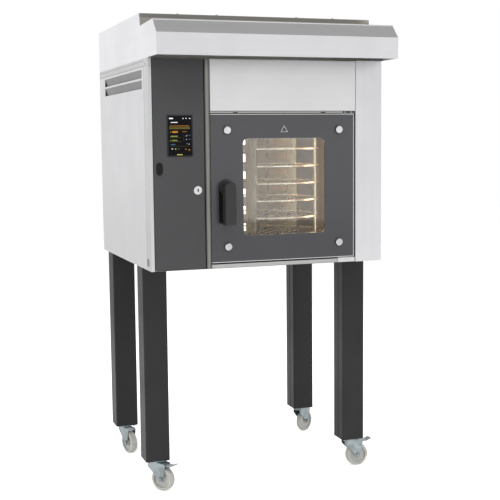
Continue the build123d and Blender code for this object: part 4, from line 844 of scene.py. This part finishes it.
def cut(mesh: bpy.types.Mesh, tool: bpy.types.Mesh, keep_inside: bool) -> bpy.types.Mesh:
    """Cuts a mesh with a closed tool.

    Args:
        mesh: the mesh that is cut.
        tool: the closed cutting shape.
        keep_inside: whether what lies in the tool stays, or what lies outside.

    Returns:
        The new mesh.
    """
    blank, cutter = linked("cut_blank", mesh), linked("cut_tool", tool)
    modifier = blank.modifiers.new("cut", "BOOLEAN")
    modifier.operation = "INTERSECT" if keep_inside else "DIFFERENCE"
    modifier.solver = "EXACT"
    modifier.object = cutter
    made = evaluated(blank)
    for obj in (blank, cutter):
        bpy.data.objects.remove(obj)
    return made


# ---------------------------------------------------------------- repeated pieces


class Head(Enum):
    """Sides of a fastener's head."""

    HEX = 6
    ROUND = 16


@dataclass
class FastenerField:
    """Rows of fasteners made by a node tree: a washer and a head at every point of a grid."""

    name: str
    origin: Point
    step: Point
    count: int
    row_step: Point = NOUGHT
    rows: int = 1
    outward: Point = NOUGHT    # turn from +Z, in radians
    radius: float = 0.004
    height: float = 0.002
    head: Head = Head.ROUND
    seed: int = 7

    def tree(self) -> bpy.types.NodeTree:
        """Builds the node tree once.

        Returns:
            The geometry node tree.
        """
        if "fastener_field" in bpy.data.node_groups:
            return bpy.data.node_groups["fastener_field"]
        tree = bpy.data.node_groups.new("fastener_field", "GeometryNodeTree")
        kinds = {"Origin": "Vector", "Step": "Vector", "Count": "Int", "Row Step": "Vector", "Rows": "Int",
                 "Outward": "Rotation", "Radius": "Float", "Height": "Float", "Sides": "Int", "Seed": "Int",
                 "Finish": "Material"}
        for label, kind in kinds.items():
            tree.interface.new_socket(label, in_out="INPUT", socket_type="NodeSocket" + kind)
        tree.interface.new_socket("Geometry", in_out="OUTPUT", socket_type="NodeSocketGeometry")
        g = Graph(tree)
        given = g.add("NodeGroupInput").outputs

        def disc(sides: object, top: float, bottom: float, depth: float) -> bpy.types.Node:
            """A cone whose sizes are shares of the fastener's radius and height."""
            return g.feed(g.add("GeometryNodeMeshCone"), Vertices=sides,
                          Radius_Top=g.math("MULTIPLY", given["Radius"], top),
                          Radius_Bottom=g.math("MULTIPLY", given["Radius"], bottom),
                          Depth=g.math("MULTIPLY", given["Height"], depth))

        row = g.feed(g.add("GeometryNodeMeshLine"), Count=given["Count"], Start_Location=given["Origin"],
                     Offset=given["Step"])
        across = g.feed(g.add("GeometryNodeMeshLine"), Count=given["Rows"], Offset=given["Row Step"])
        grid = g.add("GeometryNodeInstanceOnPoints")
        g.feed(grid, Points=row.outputs[0], Instance=across.outputs[0])
        points = g.feed(g.add("GeometryNodeRealizeInstances"), Geometry=grid.outputs[0])
        lift = g.feed(g.add("ShaderNodeCombineXYZ"), Z=given["Height"])
        socket = g.feed(g.add("GeometryNodeTransform"), Geometry=disc(6, 0.3, 0.42, 0.12).outputs[0],
                        Translation=lift.outputs[0])
        whole = g.add("GeometryNodeJoinGeometry")
        for part in (socket, disc(24, 1.5, 1.55, 0.3), disc(given["Sides"], 0.82, 1.0, 1.0)):
            g.give(whole.inputs[0], part.outputs[0])
        placed = g.feed(g.add("GeometryNodeInstanceOnPoints"), Points=points.outputs[0],
                        Instance=whole.outputs[0], Rotation=given["Outward"])
        chance = g.feed(g.add("FunctionNodeRandomValue", data_type="FLOAT"), Seed=given["Seed"])
        chance.inputs[3].default_value = 2 * math.pi
        spin = g.feed(g.add("ShaderNodeCombineXYZ"), Z=chance.outputs[1])
        turned = g.feed(g.add("GeometryNodeRotateInstances"), Instances=placed.outputs[0],
                        Rotation=spin.outputs[0])
        real = g.feed(g.add("GeometryNodeRealizeInstances"), Geometry=turned.outputs[0])
        dressed = g.feed(g.add("GeometryNodeSetMaterial"), Geometry=real.outputs[0], Material=given["Finish"])
        g.give(g.add("NodeGroupOutput").inputs[0], dressed.outputs[0])
        return tree

    def mesh(self) -> bpy.types.Mesh:
        """Evaluates the tree into a plain mesh.

        Returns:
            The mesh.
        """
        blank = linked(self.name + "_blank", bpy.data.meshes.new("blank"))
        modifier = blank.modifiers.new("fasteners", "NODES")
        modifier.node_group = self.tree()
        values = {"Origin": self.origin, "Step": self.step, "Count": self.count, "Row Step": self.row_step,
                  "Rows": self.rows, "Outward": self.outward, "Radius": self.radius, "Height": self.height,
                  "Sides": self.head.value, "Seed": self.seed, "Finish": ZINC.make()}
        for item in modifier.node_group.interface.items_tree:
            if item.item_type == "SOCKET" and item.in_out == "INPUT":
                modifier[item.identifier] = values[item.name]
        made = evaluated(blank)
        blank.modifiers.remove(modifier)
        bpy.data.objects.remove(blank)
        return made


def place_fasteners(name: str, fields: list[FastenerField]) -> None:
    """Joins fields of zinc fasteners into one piece of the cabinet.

    Args:
        name: the piece's name.
        fields: the fields.
    """
    bm = bmesh.new()
    for each in fields:
        bm.from_mesh(each.mesh())
    mesh = bpy.data.meshes.new(name)
    bm.to_mesh(mesh)
    bm.free()
    Piece(name, ZINC, "zinc", "cabinet").place(mesh, smooth=False)


# ---------------------------------------------------------------- sub-assemblies


@dataclass
class CadDress:
    """The CAD nodes that stay as they are and only take a finish."""

    by_node: dict[str, Surface] = field(default_factory=lambda: dict(NODE_FINISH))
    by_slot: dict[str, Surface] = field(default_factory=lambda: dict(SLOT_FINISH))

    def build(self) -> None:
        """Gives every CAD node its finish."""
        for name, obj in sorted(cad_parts.items()):
            finish = self.by_node.get(name) or self.by_slot[obj.material_slots[0].material.name]
            for slot in obj.material_slots:
                slot.material = finish.make()
            log.info("%s: %s", name, finish.name)


@dataclass
class CabinetTrim:
    """Fasteners and small marks on the outer sheets."""

    screw_radius: float = 0.0045
    screw_height: float = 0.0018
    screw_pitch: float = 0.19
    margin: float = 0.018
    clip_inset: float = 0.030
    clip_width: float = 0.036
    clip_height: float = 0.030
    clip_rise: float = 0.017
    plug_radius: float = 0.0044
    plug_inset: float = 0.042
    plug_drop: float = 0.022
    proud: float = 0.00002      # how far clip and plug stand out
    sunk: float = 0.001         # how far they reach in
    pad_width: float = 0.018
    pad_height: float = 0.006
    pad_places: Pair = (0.097, -0.146)      # from the glass's left and right edges
    hinge_shade_reach: float = 0.052
    hinge_screw_inset: float = 0.014

    def grid(self, lo: float, hi: float) -> tuple[float, int]:
        """The length between the margins of a sheet's two edges, and how many screws stand on it."""
        length = hi - lo - 2 * self.margin
        return length, int(length / self.screw_pitch) + 1

    def rear_screws(self) -> None:
        """Screws round the rear panel."""
        lo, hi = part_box("rear_panel")
        out = (-math.pi / 2, 0.0, 0.0)
        size = (self.screw_radius, self.screw_height)
        wide, count = self.grid(lo.x, hi.x)
        tall, rows = self.grid(lo.z, hi.z)
        rise = tall / (rows - 1)
        x, z = lo.x + self.margin, lo.z + self.margin
        place_fasteners("rear_screws", [
            FastenerField("rear_rows", (x, hi.y, z), (wide / (count - 1), 0, 0), count, (0, 0, tall), 2, out,
                          *size, seed=3),
            FastenerField("rear_columns", (x, hi.y, z + rise), (0, 0, rise), rows - 2, (wide, 0, 0), 2, out,
                          *size, seed=5)])

    def side_screws(self) -> None:
        """Screws down the two ends of the right side panel."""
        lo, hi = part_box("side_panel_right")
        tall, rows = self.grid(lo.z, hi.z)
        start = (hi.x, lo.y + self.margin, lo.z + self.margin)
        place_fasteners("side_screws", [
            FastenerField("side_columns", start, (0, 0, tall / (rows - 1)), rows,
                          (0, hi.y - lo.y - 2 * self.margin, 0), 2, (0.0, math.pi / 2, 0.0),
                          self.screw_radius, self.screw_height, seed=11)])

    def side_clip(self) -> None:
        """The grey catch at the foot of the left corner post, and the plug near its head."""
        lo, hi = CORNER
        x, y, z = lo.x, lo.y + self.clip_inset, lo.z + self.clip_rise
        clip = Shape().block((x - self.proud, y, z),
                             (x + self.sunk, y + self.clip_width, z + self.clip_height), 0.0003)
        Piece("side_clip", GREY_PLASTIC, "grey_plastic", "cabinet").place(clip.mesh("side_clip"))
        r = self.plug_radius
        plug = Shape().turned([(r - 0.0004, -self.proud), (r, 0.0002), (r, self.sunk)],
                              (x, lo.y + self.plug_inset, hi.z - self.plug_drop), Axis.X, 20)
        Piece("side_plug", SEAL_RUBBER, "seal", "cabinet").place(plug.mesh("side_plug"))

    def head_notches(self) -> None:
        """Dark pads in the bright strip above the door."""
        z = GLASS[1].z + 0.0015
        y = SURROUND[0].y
        shape = Shape()
        for x in (GLASS[0].x + self.pad_places[0], GLASS[1].x + self.pad_places[1]):
            shape.block((x, y - 0.0006, z), (x + self.pad_width, y + 0.003, z + self.pad_height), 0.0005)
        Piece("head_pads", BLACK_PLASTIC, "black_plastic", "cabinet").place(shape.mesh("head_pads"))

    def hinge_shade_patch(self) -> None:
        """Painted shade at the upper hinge block: a dark sheet in the bright strip, with two bright screws on
        it.
        """
        x0, x1 = GLASS[1].x - self.hinge_shade_reach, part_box("hinge_brackets")[1].x - 0.003
        z0, z1 = HEAD_FOOT + 0.001, HEAD_TOP - 0.0005
        y = SURROUND[0].y + 0.0008
        # The dark sheet is painted shade by the hinge; the screws on it are real.
        shape = Shape().block((x0, y, z0), (x1, y + 0.001, z1), 0.0003)
        Piece("hinge_shade_patch", BLACK_PLASTIC, "black_plastic", "cabinet").place(shape.mesh("hinge_shade_patch"))
        place_fasteners("hinge_screws", [
            FastenerField("hinge_screws", (x0 + self.hinge_screw_inset, y, (z0 + z1) / 2),
                          (x1 - x0 - 2 * self.hinge_screw_inset, 0, 0), 2, outward=(math.pi / 2, 0.0, 0.0),
                          radius=0.0026, height=0.0008, seed=31)])

    def build(self) -> None:
        """Builds all the cabinet's small pieces."""
        self.hinge_shade_patch()
        self.rear_screws()
        self.side_screws()
        self.side_clip()
        self.head_notches()


@dataclass
class OvenDoor:
    """The glass door: enamelled border, clear window, ground edge, painted shadow rings round the studs and
    printed mark.
    """

    window_width: float = 0.355
    window_height: float = 0.390
    window_radius: float = 0.020
    window_shift: Pair = (0.002, 0.004)     # from the middle of the glass
    corner_steps: int = 10
    edge_width: float = 0.0028
    reach: float = 0.02                     # how far cutting shapes pass the glass
    stud_radius: float = 0.015
    shadow_ring_radius: float = 0.0185
    shadow_ring_hole: float = 0.009
    shadow_ring_depth: float = 0.0012
    shadow_ring_round: float = 0.0006
    mark_radius: float = 0.01798
    mark_line: float = 0.0032
    mark_rise: float = 0.034                # above the window
    mark_depth: float = 0.00015
    rim_width: float = 0.003
    rim_gap: float = 0.0002
    rose_radius: float = 0.030
    plate_half: float = 0.0315
    plate_short: float = 0.005
    plate_corner: float = 0.008
    plate_proud: float = 0.00025

    def centre(self) -> Pair:
        """The middle of the window, as x and z."""
        lo, hi = GLASS
        return (lo.x + hi.x) / 2 + self.window_shift[0], (lo.z + hi.z) / 2 + self.window_shift[1]

    def window(self, grow: float, radius: float) -> list[Pair]:
        """The window's outline, grown in width and height, with its own corner radius."""
        return rounded_outline(self.window_width + grow, self.window_height + grow, radius, self.corner_steps)

    def glass(self) -> None:
        """Cuts the CAD sheet of glass into border, window and ground edge."""
        lo, hi = GLASS
        left, right = lo.x - self.reach, hi.x - self.edge_width
        foot, top = lo.z + self.edge_width, hi.z - self.edge_width
        inside = [(left, foot), (right, foot), (right, top), (left, top)]
        hole = self.window(0.0, self.window_radius)
        sheet = node_copy("door_outer_glass")

        def tool(outline: list[Pair], centre: Pair) -> bpy.types.Mesh:
            """A prism through the glass."""
            return Shape().prism(outline, Axis.Y, lo.y - self.reach, hi.y + self.reach, centre).mesh("tool")

        pane = cut(sheet.copy(), tool(hole, self.centre()), True)
        rest = cut(sheet.copy(), tool(hole, self.centre()), False)
        border = cut(rest.copy(), tool(inside, (0.0, 0.0)), True)
        edge = cut(rest, tool(inside, (0.0, 0.0)), False)
        border_piece = Piece("door_border", ENAMEL, "glass_dark", "door").place(border, smooth=False)
        pane_piece = Piece("door_window", WINDOW_GLASS, "glass_clear", "door").place(pane, smooth=False)
        Piece("door_ground_edge", GROUND_EDGE, "glass_clear", "door").place(edge, smooth=False)
        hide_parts("door_outer_glass")
        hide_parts("door_outer_glass")

    def stud_shadows(self) -> None:
        """Painted shadow: a black ring on the glass round the head of each glass fixing."""
        lo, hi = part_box("glass_studs")
        head, radius, depth = self.stud_radius, self.shadow_ring_radius, self.shadow_ring_depth
        profile = [(radius, 0.0), (radius, -depth * 0.6), (radius - self.shadow_ring_round, -depth),
                   (self.shadow_ring_hole, -depth)]
        shape = Shape()
        for x in (lo.x + head, hi.x - head):
            for z in (lo.z + head, hi.z - head):
                shape.turned(profile, (x, GLASS[0].y, z), Axis.Y, 40)
        Piece("stud_shadow_rings", SEAL_RUBBER, "seal", "door").place(shape.mesh("stud_shadow_rings"))

    def mark(self) -> None:
        """A plain printed triangle above the window."""
        cx, cz = self.centre()
        outer, inner = (arc(radius, math.pi / 2, 2 * math.pi, 3)[:-1]
                        for radius in (self.mark_radius, self.mark_radius - self.mark_line))
        face = GLASS[0].y
        shape = Shape().band(outer, inner, face - self.mark_depth, face,
                             (cx, cz + self.window_height / 2 + self.mark_rise))
        Piece("door_mark", PRINT_WHITE, "glass_dark", "door").place(shape.mesh("door_mark"), smooth=False)

    def rim(self) -> None:
        """The bright rim behind the window's edge."""
        outer = self.window(2 * self.rim_width, self.window_radius + self.rim_width)
        inner = self.window(-0.001, self.window_radius)
        back = GLASS[1].y
        shape = Shape().band(outer, inner, back + self.rim_gap, back + self.rim_width, self.centre())
        Piece("window_rim", CHROME, "chrome", "door").place(shape.mesh("window_rim"))

    def handle_shade_plate(self) -> None:
        """Painted shade: a black plate on the glass where the side of the handle lies in shade."""
        lo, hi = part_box("door_handle")
        cx, cz = hi.x - self.rose_radius, hi.z - self.rose_radius
        half, corner = self.plate_half, self.plate_corner
        low = lo.z + self.plate_short + corner
        outline = arc(half, 0.0, math.pi, 20, (cx, cz))
        outline += arc(corner, math.pi, math.pi / 2, 6, (cx - half + corner, low))
        outline += arc(corner, 1.5 * math.pi, math.pi / 2, 6, (cx + half - corner, low))
        face = GLASS[0].y
        mesh = Shape().prism(outline, Axis.Y, face - self.plate_proud, face + 0.0001).mesh("handle_shade_plate")
        Piece("handle_shade_plate", HANDLE_SHADE_BLACK, "black_plastic", "door").place(mesh, smooth=False)

    def build(self) -> None:
        """Builds the door's looks."""
        self.handle_shade_plate()
        self.glass()
        self.stud_shadows()
        self.mark()
        self.rim()


@dataclass
class ControlFront:
    """What is lit on the display, and the keyway of the lock."""

    border: float = 0.005       # of the bezel, round what is lit
    lit: float = 0.00015
    key_width: float = 0.0055
    key_height: float = 0.0125
    key_round: float = 0.0022

    def rows(self) -> dict[str, tuple[Glow, list[tuple[float, float, float, float]]]]:
        """The lit patches: each colour's left edge, foot, width and height, as shares of the display."""
        return {
            "white": (Glow("lit_white", (0.80, 0.82, 0.85), 0.45), [
                (0.05, 0.925, 0.16, 0.03), (0.62, 0.93, 0.04, 0.02), (0.75, 0.93, 0.04, 0.02),
                (0.9, 0.93, 0.05, 0.02), (0.12, 0.83, 0.28, 0.018), (0.14, 0.16, 0.05, 0.022),
                (0.76, 0.49, 0.03, 0.014), (0.76, 0.40, 0.03, 0.014), (0.88, 0.28, 0.03, 0.014)]),
            "amber": (Glow("lit_amber", (0.42, 0.18, 0.02), 0.25), [
                (0.08, 0.745, 0.82, 0.012), (0.08, 0.585, 0.05, 0.02), (0.17, 0.575, 0.24, 0.045),
                (0.72, 0.15, 0.05, 0.022), (0.86, 0.13, 0.06, 0.026), (0.60, 0.60, 0.20, 0.010)]),
            "lime": (Glow("lit_lime", (0.19, 0.22, 0.05), 0.25), [
                (0.10, 0.475, 0.30, 0.028), (0.08, 0.375, 0.05, 0.02), (0.17, 0.37, 0.22, 0.028)]),
            "blue": (Glow("lit_blue", (0.06, 0.12, 0.20), 0.25), [
                (0.78, 0.50, 0.06, 0.02), (0.88, 0.50, 0.06, 0.02), (0.88, 0.40, 0.06, 0.02),
                (0.10, 0.27, 0.20, 0.018), (0.42, 0.16, 0.05, 0.022), (0.78, 0.29, 0.06, 0.02)]),
            "yellow": (Glow("lit_yellow", (0.42, 0.40, 0.09), 0.3), [
                (0.28, 0.155, 0.05, 0.026), (0.36, 0.012, 0.24, 0.022)]),
            "olive": (Glow("lit_olive", (0.09, 0.08, 0.02), 0.2), [
                (0.05, 0.67, 0.88, 0.055), (0.05, 0.35, 0.50, 0.008), (0.05, 0.45, 0.50, 0.006),
                (0.05, 0.235, 0.85, 0.005), (0.66, 0.35, 0.006, 0.2)]),
        }

    def display(self) -> None:
        """Generic rows and patches of light on the display, by colour."""
        lo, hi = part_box("display_bezel")
        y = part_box("display_screen")[0].y
        x0, z0 = lo.x + self.border, lo.z + self.border
        wide, tall = hi.x - self.border - x0, hi.z - self.border - z0
        for label, (finish, patches) in self.rows().items():
            shape = Shape()
            for u, v, w, h in patches:
                shape.block((x0 + u * wide, y - self.lit, z0 + v * tall),
                            (x0 + (u + w) * wide, y - self.lit / 3, z0 + (v + h) * tall))
            Piece("display_" + label, finish, "screen", "control_door").place(shape.mesh(label), smooth=False)

    def keyway(self) -> None:
        """The dark slot in the lock's face."""
        lo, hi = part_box("key_lock")
        radius = (hi.x - lo.x) / 2
        outline = rounded_outline(self.key_width, self.key_height, self.key_round, 5)
        shape = Shape().prism(outline, Axis.Y, lo.y - 0.0003, lo.y + 0.0002, (lo.x + radius, hi.z - radius))
        Piece("lock_keyway", SHADOW_BLACK, "black_plastic", "key_lock").place(shape.mesh("lock_keyway"))

    def build(self) -> None:
        """Builds the control front's looks."""
        self.display()
        self.keyway()


@dataclass
class RunningGear:
    """The bolts that hold the caster plates."""

    bolt_radius: float = 0.0055
    bolt_height: float = 0.0042
    bolt_spread: float = 0.034      # from a plate's middle
    plate_half: float = 0.044
    plate_thick: float = 0.003

    def build(self) -> None:
        """Hex bolts under each caster plate."""
        lo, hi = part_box("caster_plates")
        below = hi.z - self.plate_thick
        spread, half = self.bolt_spread, self.plate_half
        fields = []
        for i, x in enumerate((lo.x + half, hi.x - half)):
            for j, y in enumerate((lo.y + half, hi.y - half)):
                fields.append(FastenerField(
                    "caster_bolts", (x - spread, y - spread, below), (2 * spread, 0, 0), 2,
                    (0, 2 * spread, 0), 2, (math.pi, 0.0, 0.0), self.bolt_radius, self.bolt_height, Head.HEX,
                    seed=20 + 2 * i + j))
        place_fasteners("caster_bolts", fields)


@dataclass
class Studio:
    """The pale floor, the soft light and the camera."""

    camera_place: Point = (-1.4965, -4.384, 1.468)
    yaw: float = 19.18
    pitch: float = 6.06
    roll: float = -0.57
    lens: float = 75.1
    sensor: float = 36.0
    floor_half: float = 14.0
    floor_thick: float = 0.02
    overhead_tone: Colour = (0.42, 0.42, 0.41)
    overhead_span: Pair = (0.22, 0.75)      # how steeply upwards the surround darkens
    warm: Colour = (1.0, 0.72, 0.45)

    def camera(self) -> None:
        """Sets the camera."""
        yaw, pitch, roll = (math.radians(v) for v in (self.yaw, self.pitch, self.roll))
        forward = Vector((math.sin(yaw) * math.cos(pitch), math.cos(yaw) * math.cos(pitch), -math.sin(pitch)))
        right = Vector((math.cos(yaw), -math.sin(yaw), 0.0))
        up = right.cross(forward)
        right, up = (math.cos(roll) * right + math.sin(roll) * up,
                     math.cos(roll) * up - math.sin(roll) * right)
        data = bpy.data.cameras.new("camera")
        data.lens = self.lens
        data.sensor_width = self.sensor
        camera = linked("camera", data)
        turn = Matrix((right, up, -forward)).transposed().to_4x4()
        camera.matrix_world = Matrix.Translation(self.camera_place) @ turn
        bpy.context.scene.camera = camera

    def floor(self) -> None:
        """A plain pale floor."""
        half = self.floor_half
        mesh = Shape().block((-half, -half, -self.floor_thick), (half, half, 0.0)).mesh("floor")
        paper = Finish("floor_paper", (0.94, 0.94, 0.94), roughness=0.85, cloud=0.01, cloud_size=0.5,
                       specular=0.1, glow=0.5)
        mesh.materials.append(paper.make())
        linked("floor", mesh)

    def world(self) -> None:
        """A white surround that darkens overhead."""
        world = bpy.data.worlds.new("surround")
        bpy.context.scene.world = world
        world.use_nodes = True
        g = Graph(world.node_tree)
        part = g.add("ShaderNodeSeparateXYZ")
        g.give(part.inputs[0], g.add("ShaderNodeTexCoord").outputs["Generated"])
        above = g.remap(part.outputs["Z"], *self.overhead_span)
        g.feed(world.node_tree.nodes["Background"], Color=g.blend(above, (1.0, 1.0, 1.0), self.overhead_tone),
               Strength=1.0)

    def lamp(self, name: str, place: Point, target: Point, size: Pair, watts: float,
             colour: Colour = (1.0, 1.0, 1.0), seen: bool = True) -> None:
        """Adds a soft rectangular light.

        Args:
            name: the light's name.
            place: where it stands.
            target: what it faces.
            size: its width and height.
            watts: its power.
            colour: its colour.
            seen: whether bright surfaces mirror it.
        """
        data = bpy.data.lights.new(name, "AREA")
        data.shape = "RECTANGLE"
        data.size, data.size_y = size
        data.energy = watts
        data.color = colour
        obj = linked(name, data)
        obj.location = place
        obj.rotation_mode = "QUATERNION"
        obj.rotation_quaternion = (Vector(target) - Vector(place)).to_track_quat("-Z", "Y")
        obj.visible_glossy = seen
        obj.visible_camera = False

    def lights(self) -> None:
        """Soft light from above, the front and the left, and warm light in the chamber."""
        self.lamp("overhead", (0.0, -0.5, 4.5), NOUGHT, (6.0, 6.0), 260.0, seen=False)
        self.lamp("front_soft", (2.5, -4.5, 2.2), (0.0, 0.0, 1.0), (3.0, 3.0), 20.0, seen=False)
        self.lamp("left_soft", (-4.5, -0.5, 2.0), (0.0, 0.0, 1.2), (3.0, 3.0), 40.0, seen=False)
        lo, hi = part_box("chamber_liner")
        x, y, z = (lo.x + hi.x) / 2, (lo.y + hi.y) / 2, (lo.z + hi.z) / 2
        front = lo.y + 0.06
        warm = self.warm
        self.lamp("chamber_top", (x, lo.y + 0.05, hi.z - 0.012), (x, y, z - 0.1), (0.45, 0.05), 1.6, warm)
        self.lamp("chamber_left", (lo.x + 0.03, front, z), (x + 0.1, y, z), (0.04, 0.45), 0.9, warm)
        self.lamp("chamber_right", (hi.x - 0.03, front, z), (x - 0.1, y, z), (0.12, 0.45), 0.9, warm)

    def build(self) -> None:
        """Sets the studio."""
        bpy.context.scene.view_settings.view_transform = "Standard"
        self.camera()
        self.floor()
        self.world()
        self.lights()


def main() -> None:
    """Builds every sub-assembly in order."""
    logging.basicConfig(level=logging.INFO, format="%(name)s: %(message)s", stream=sys.stdout)
    for part in (CadDress(), CabinetTrim(), OvenDoor(), ControlFront(), RunningGear(), Studio()):
        log.info("building %s", type(part).__name__)
        part.build()


if __name__ == "__main__":
    main()
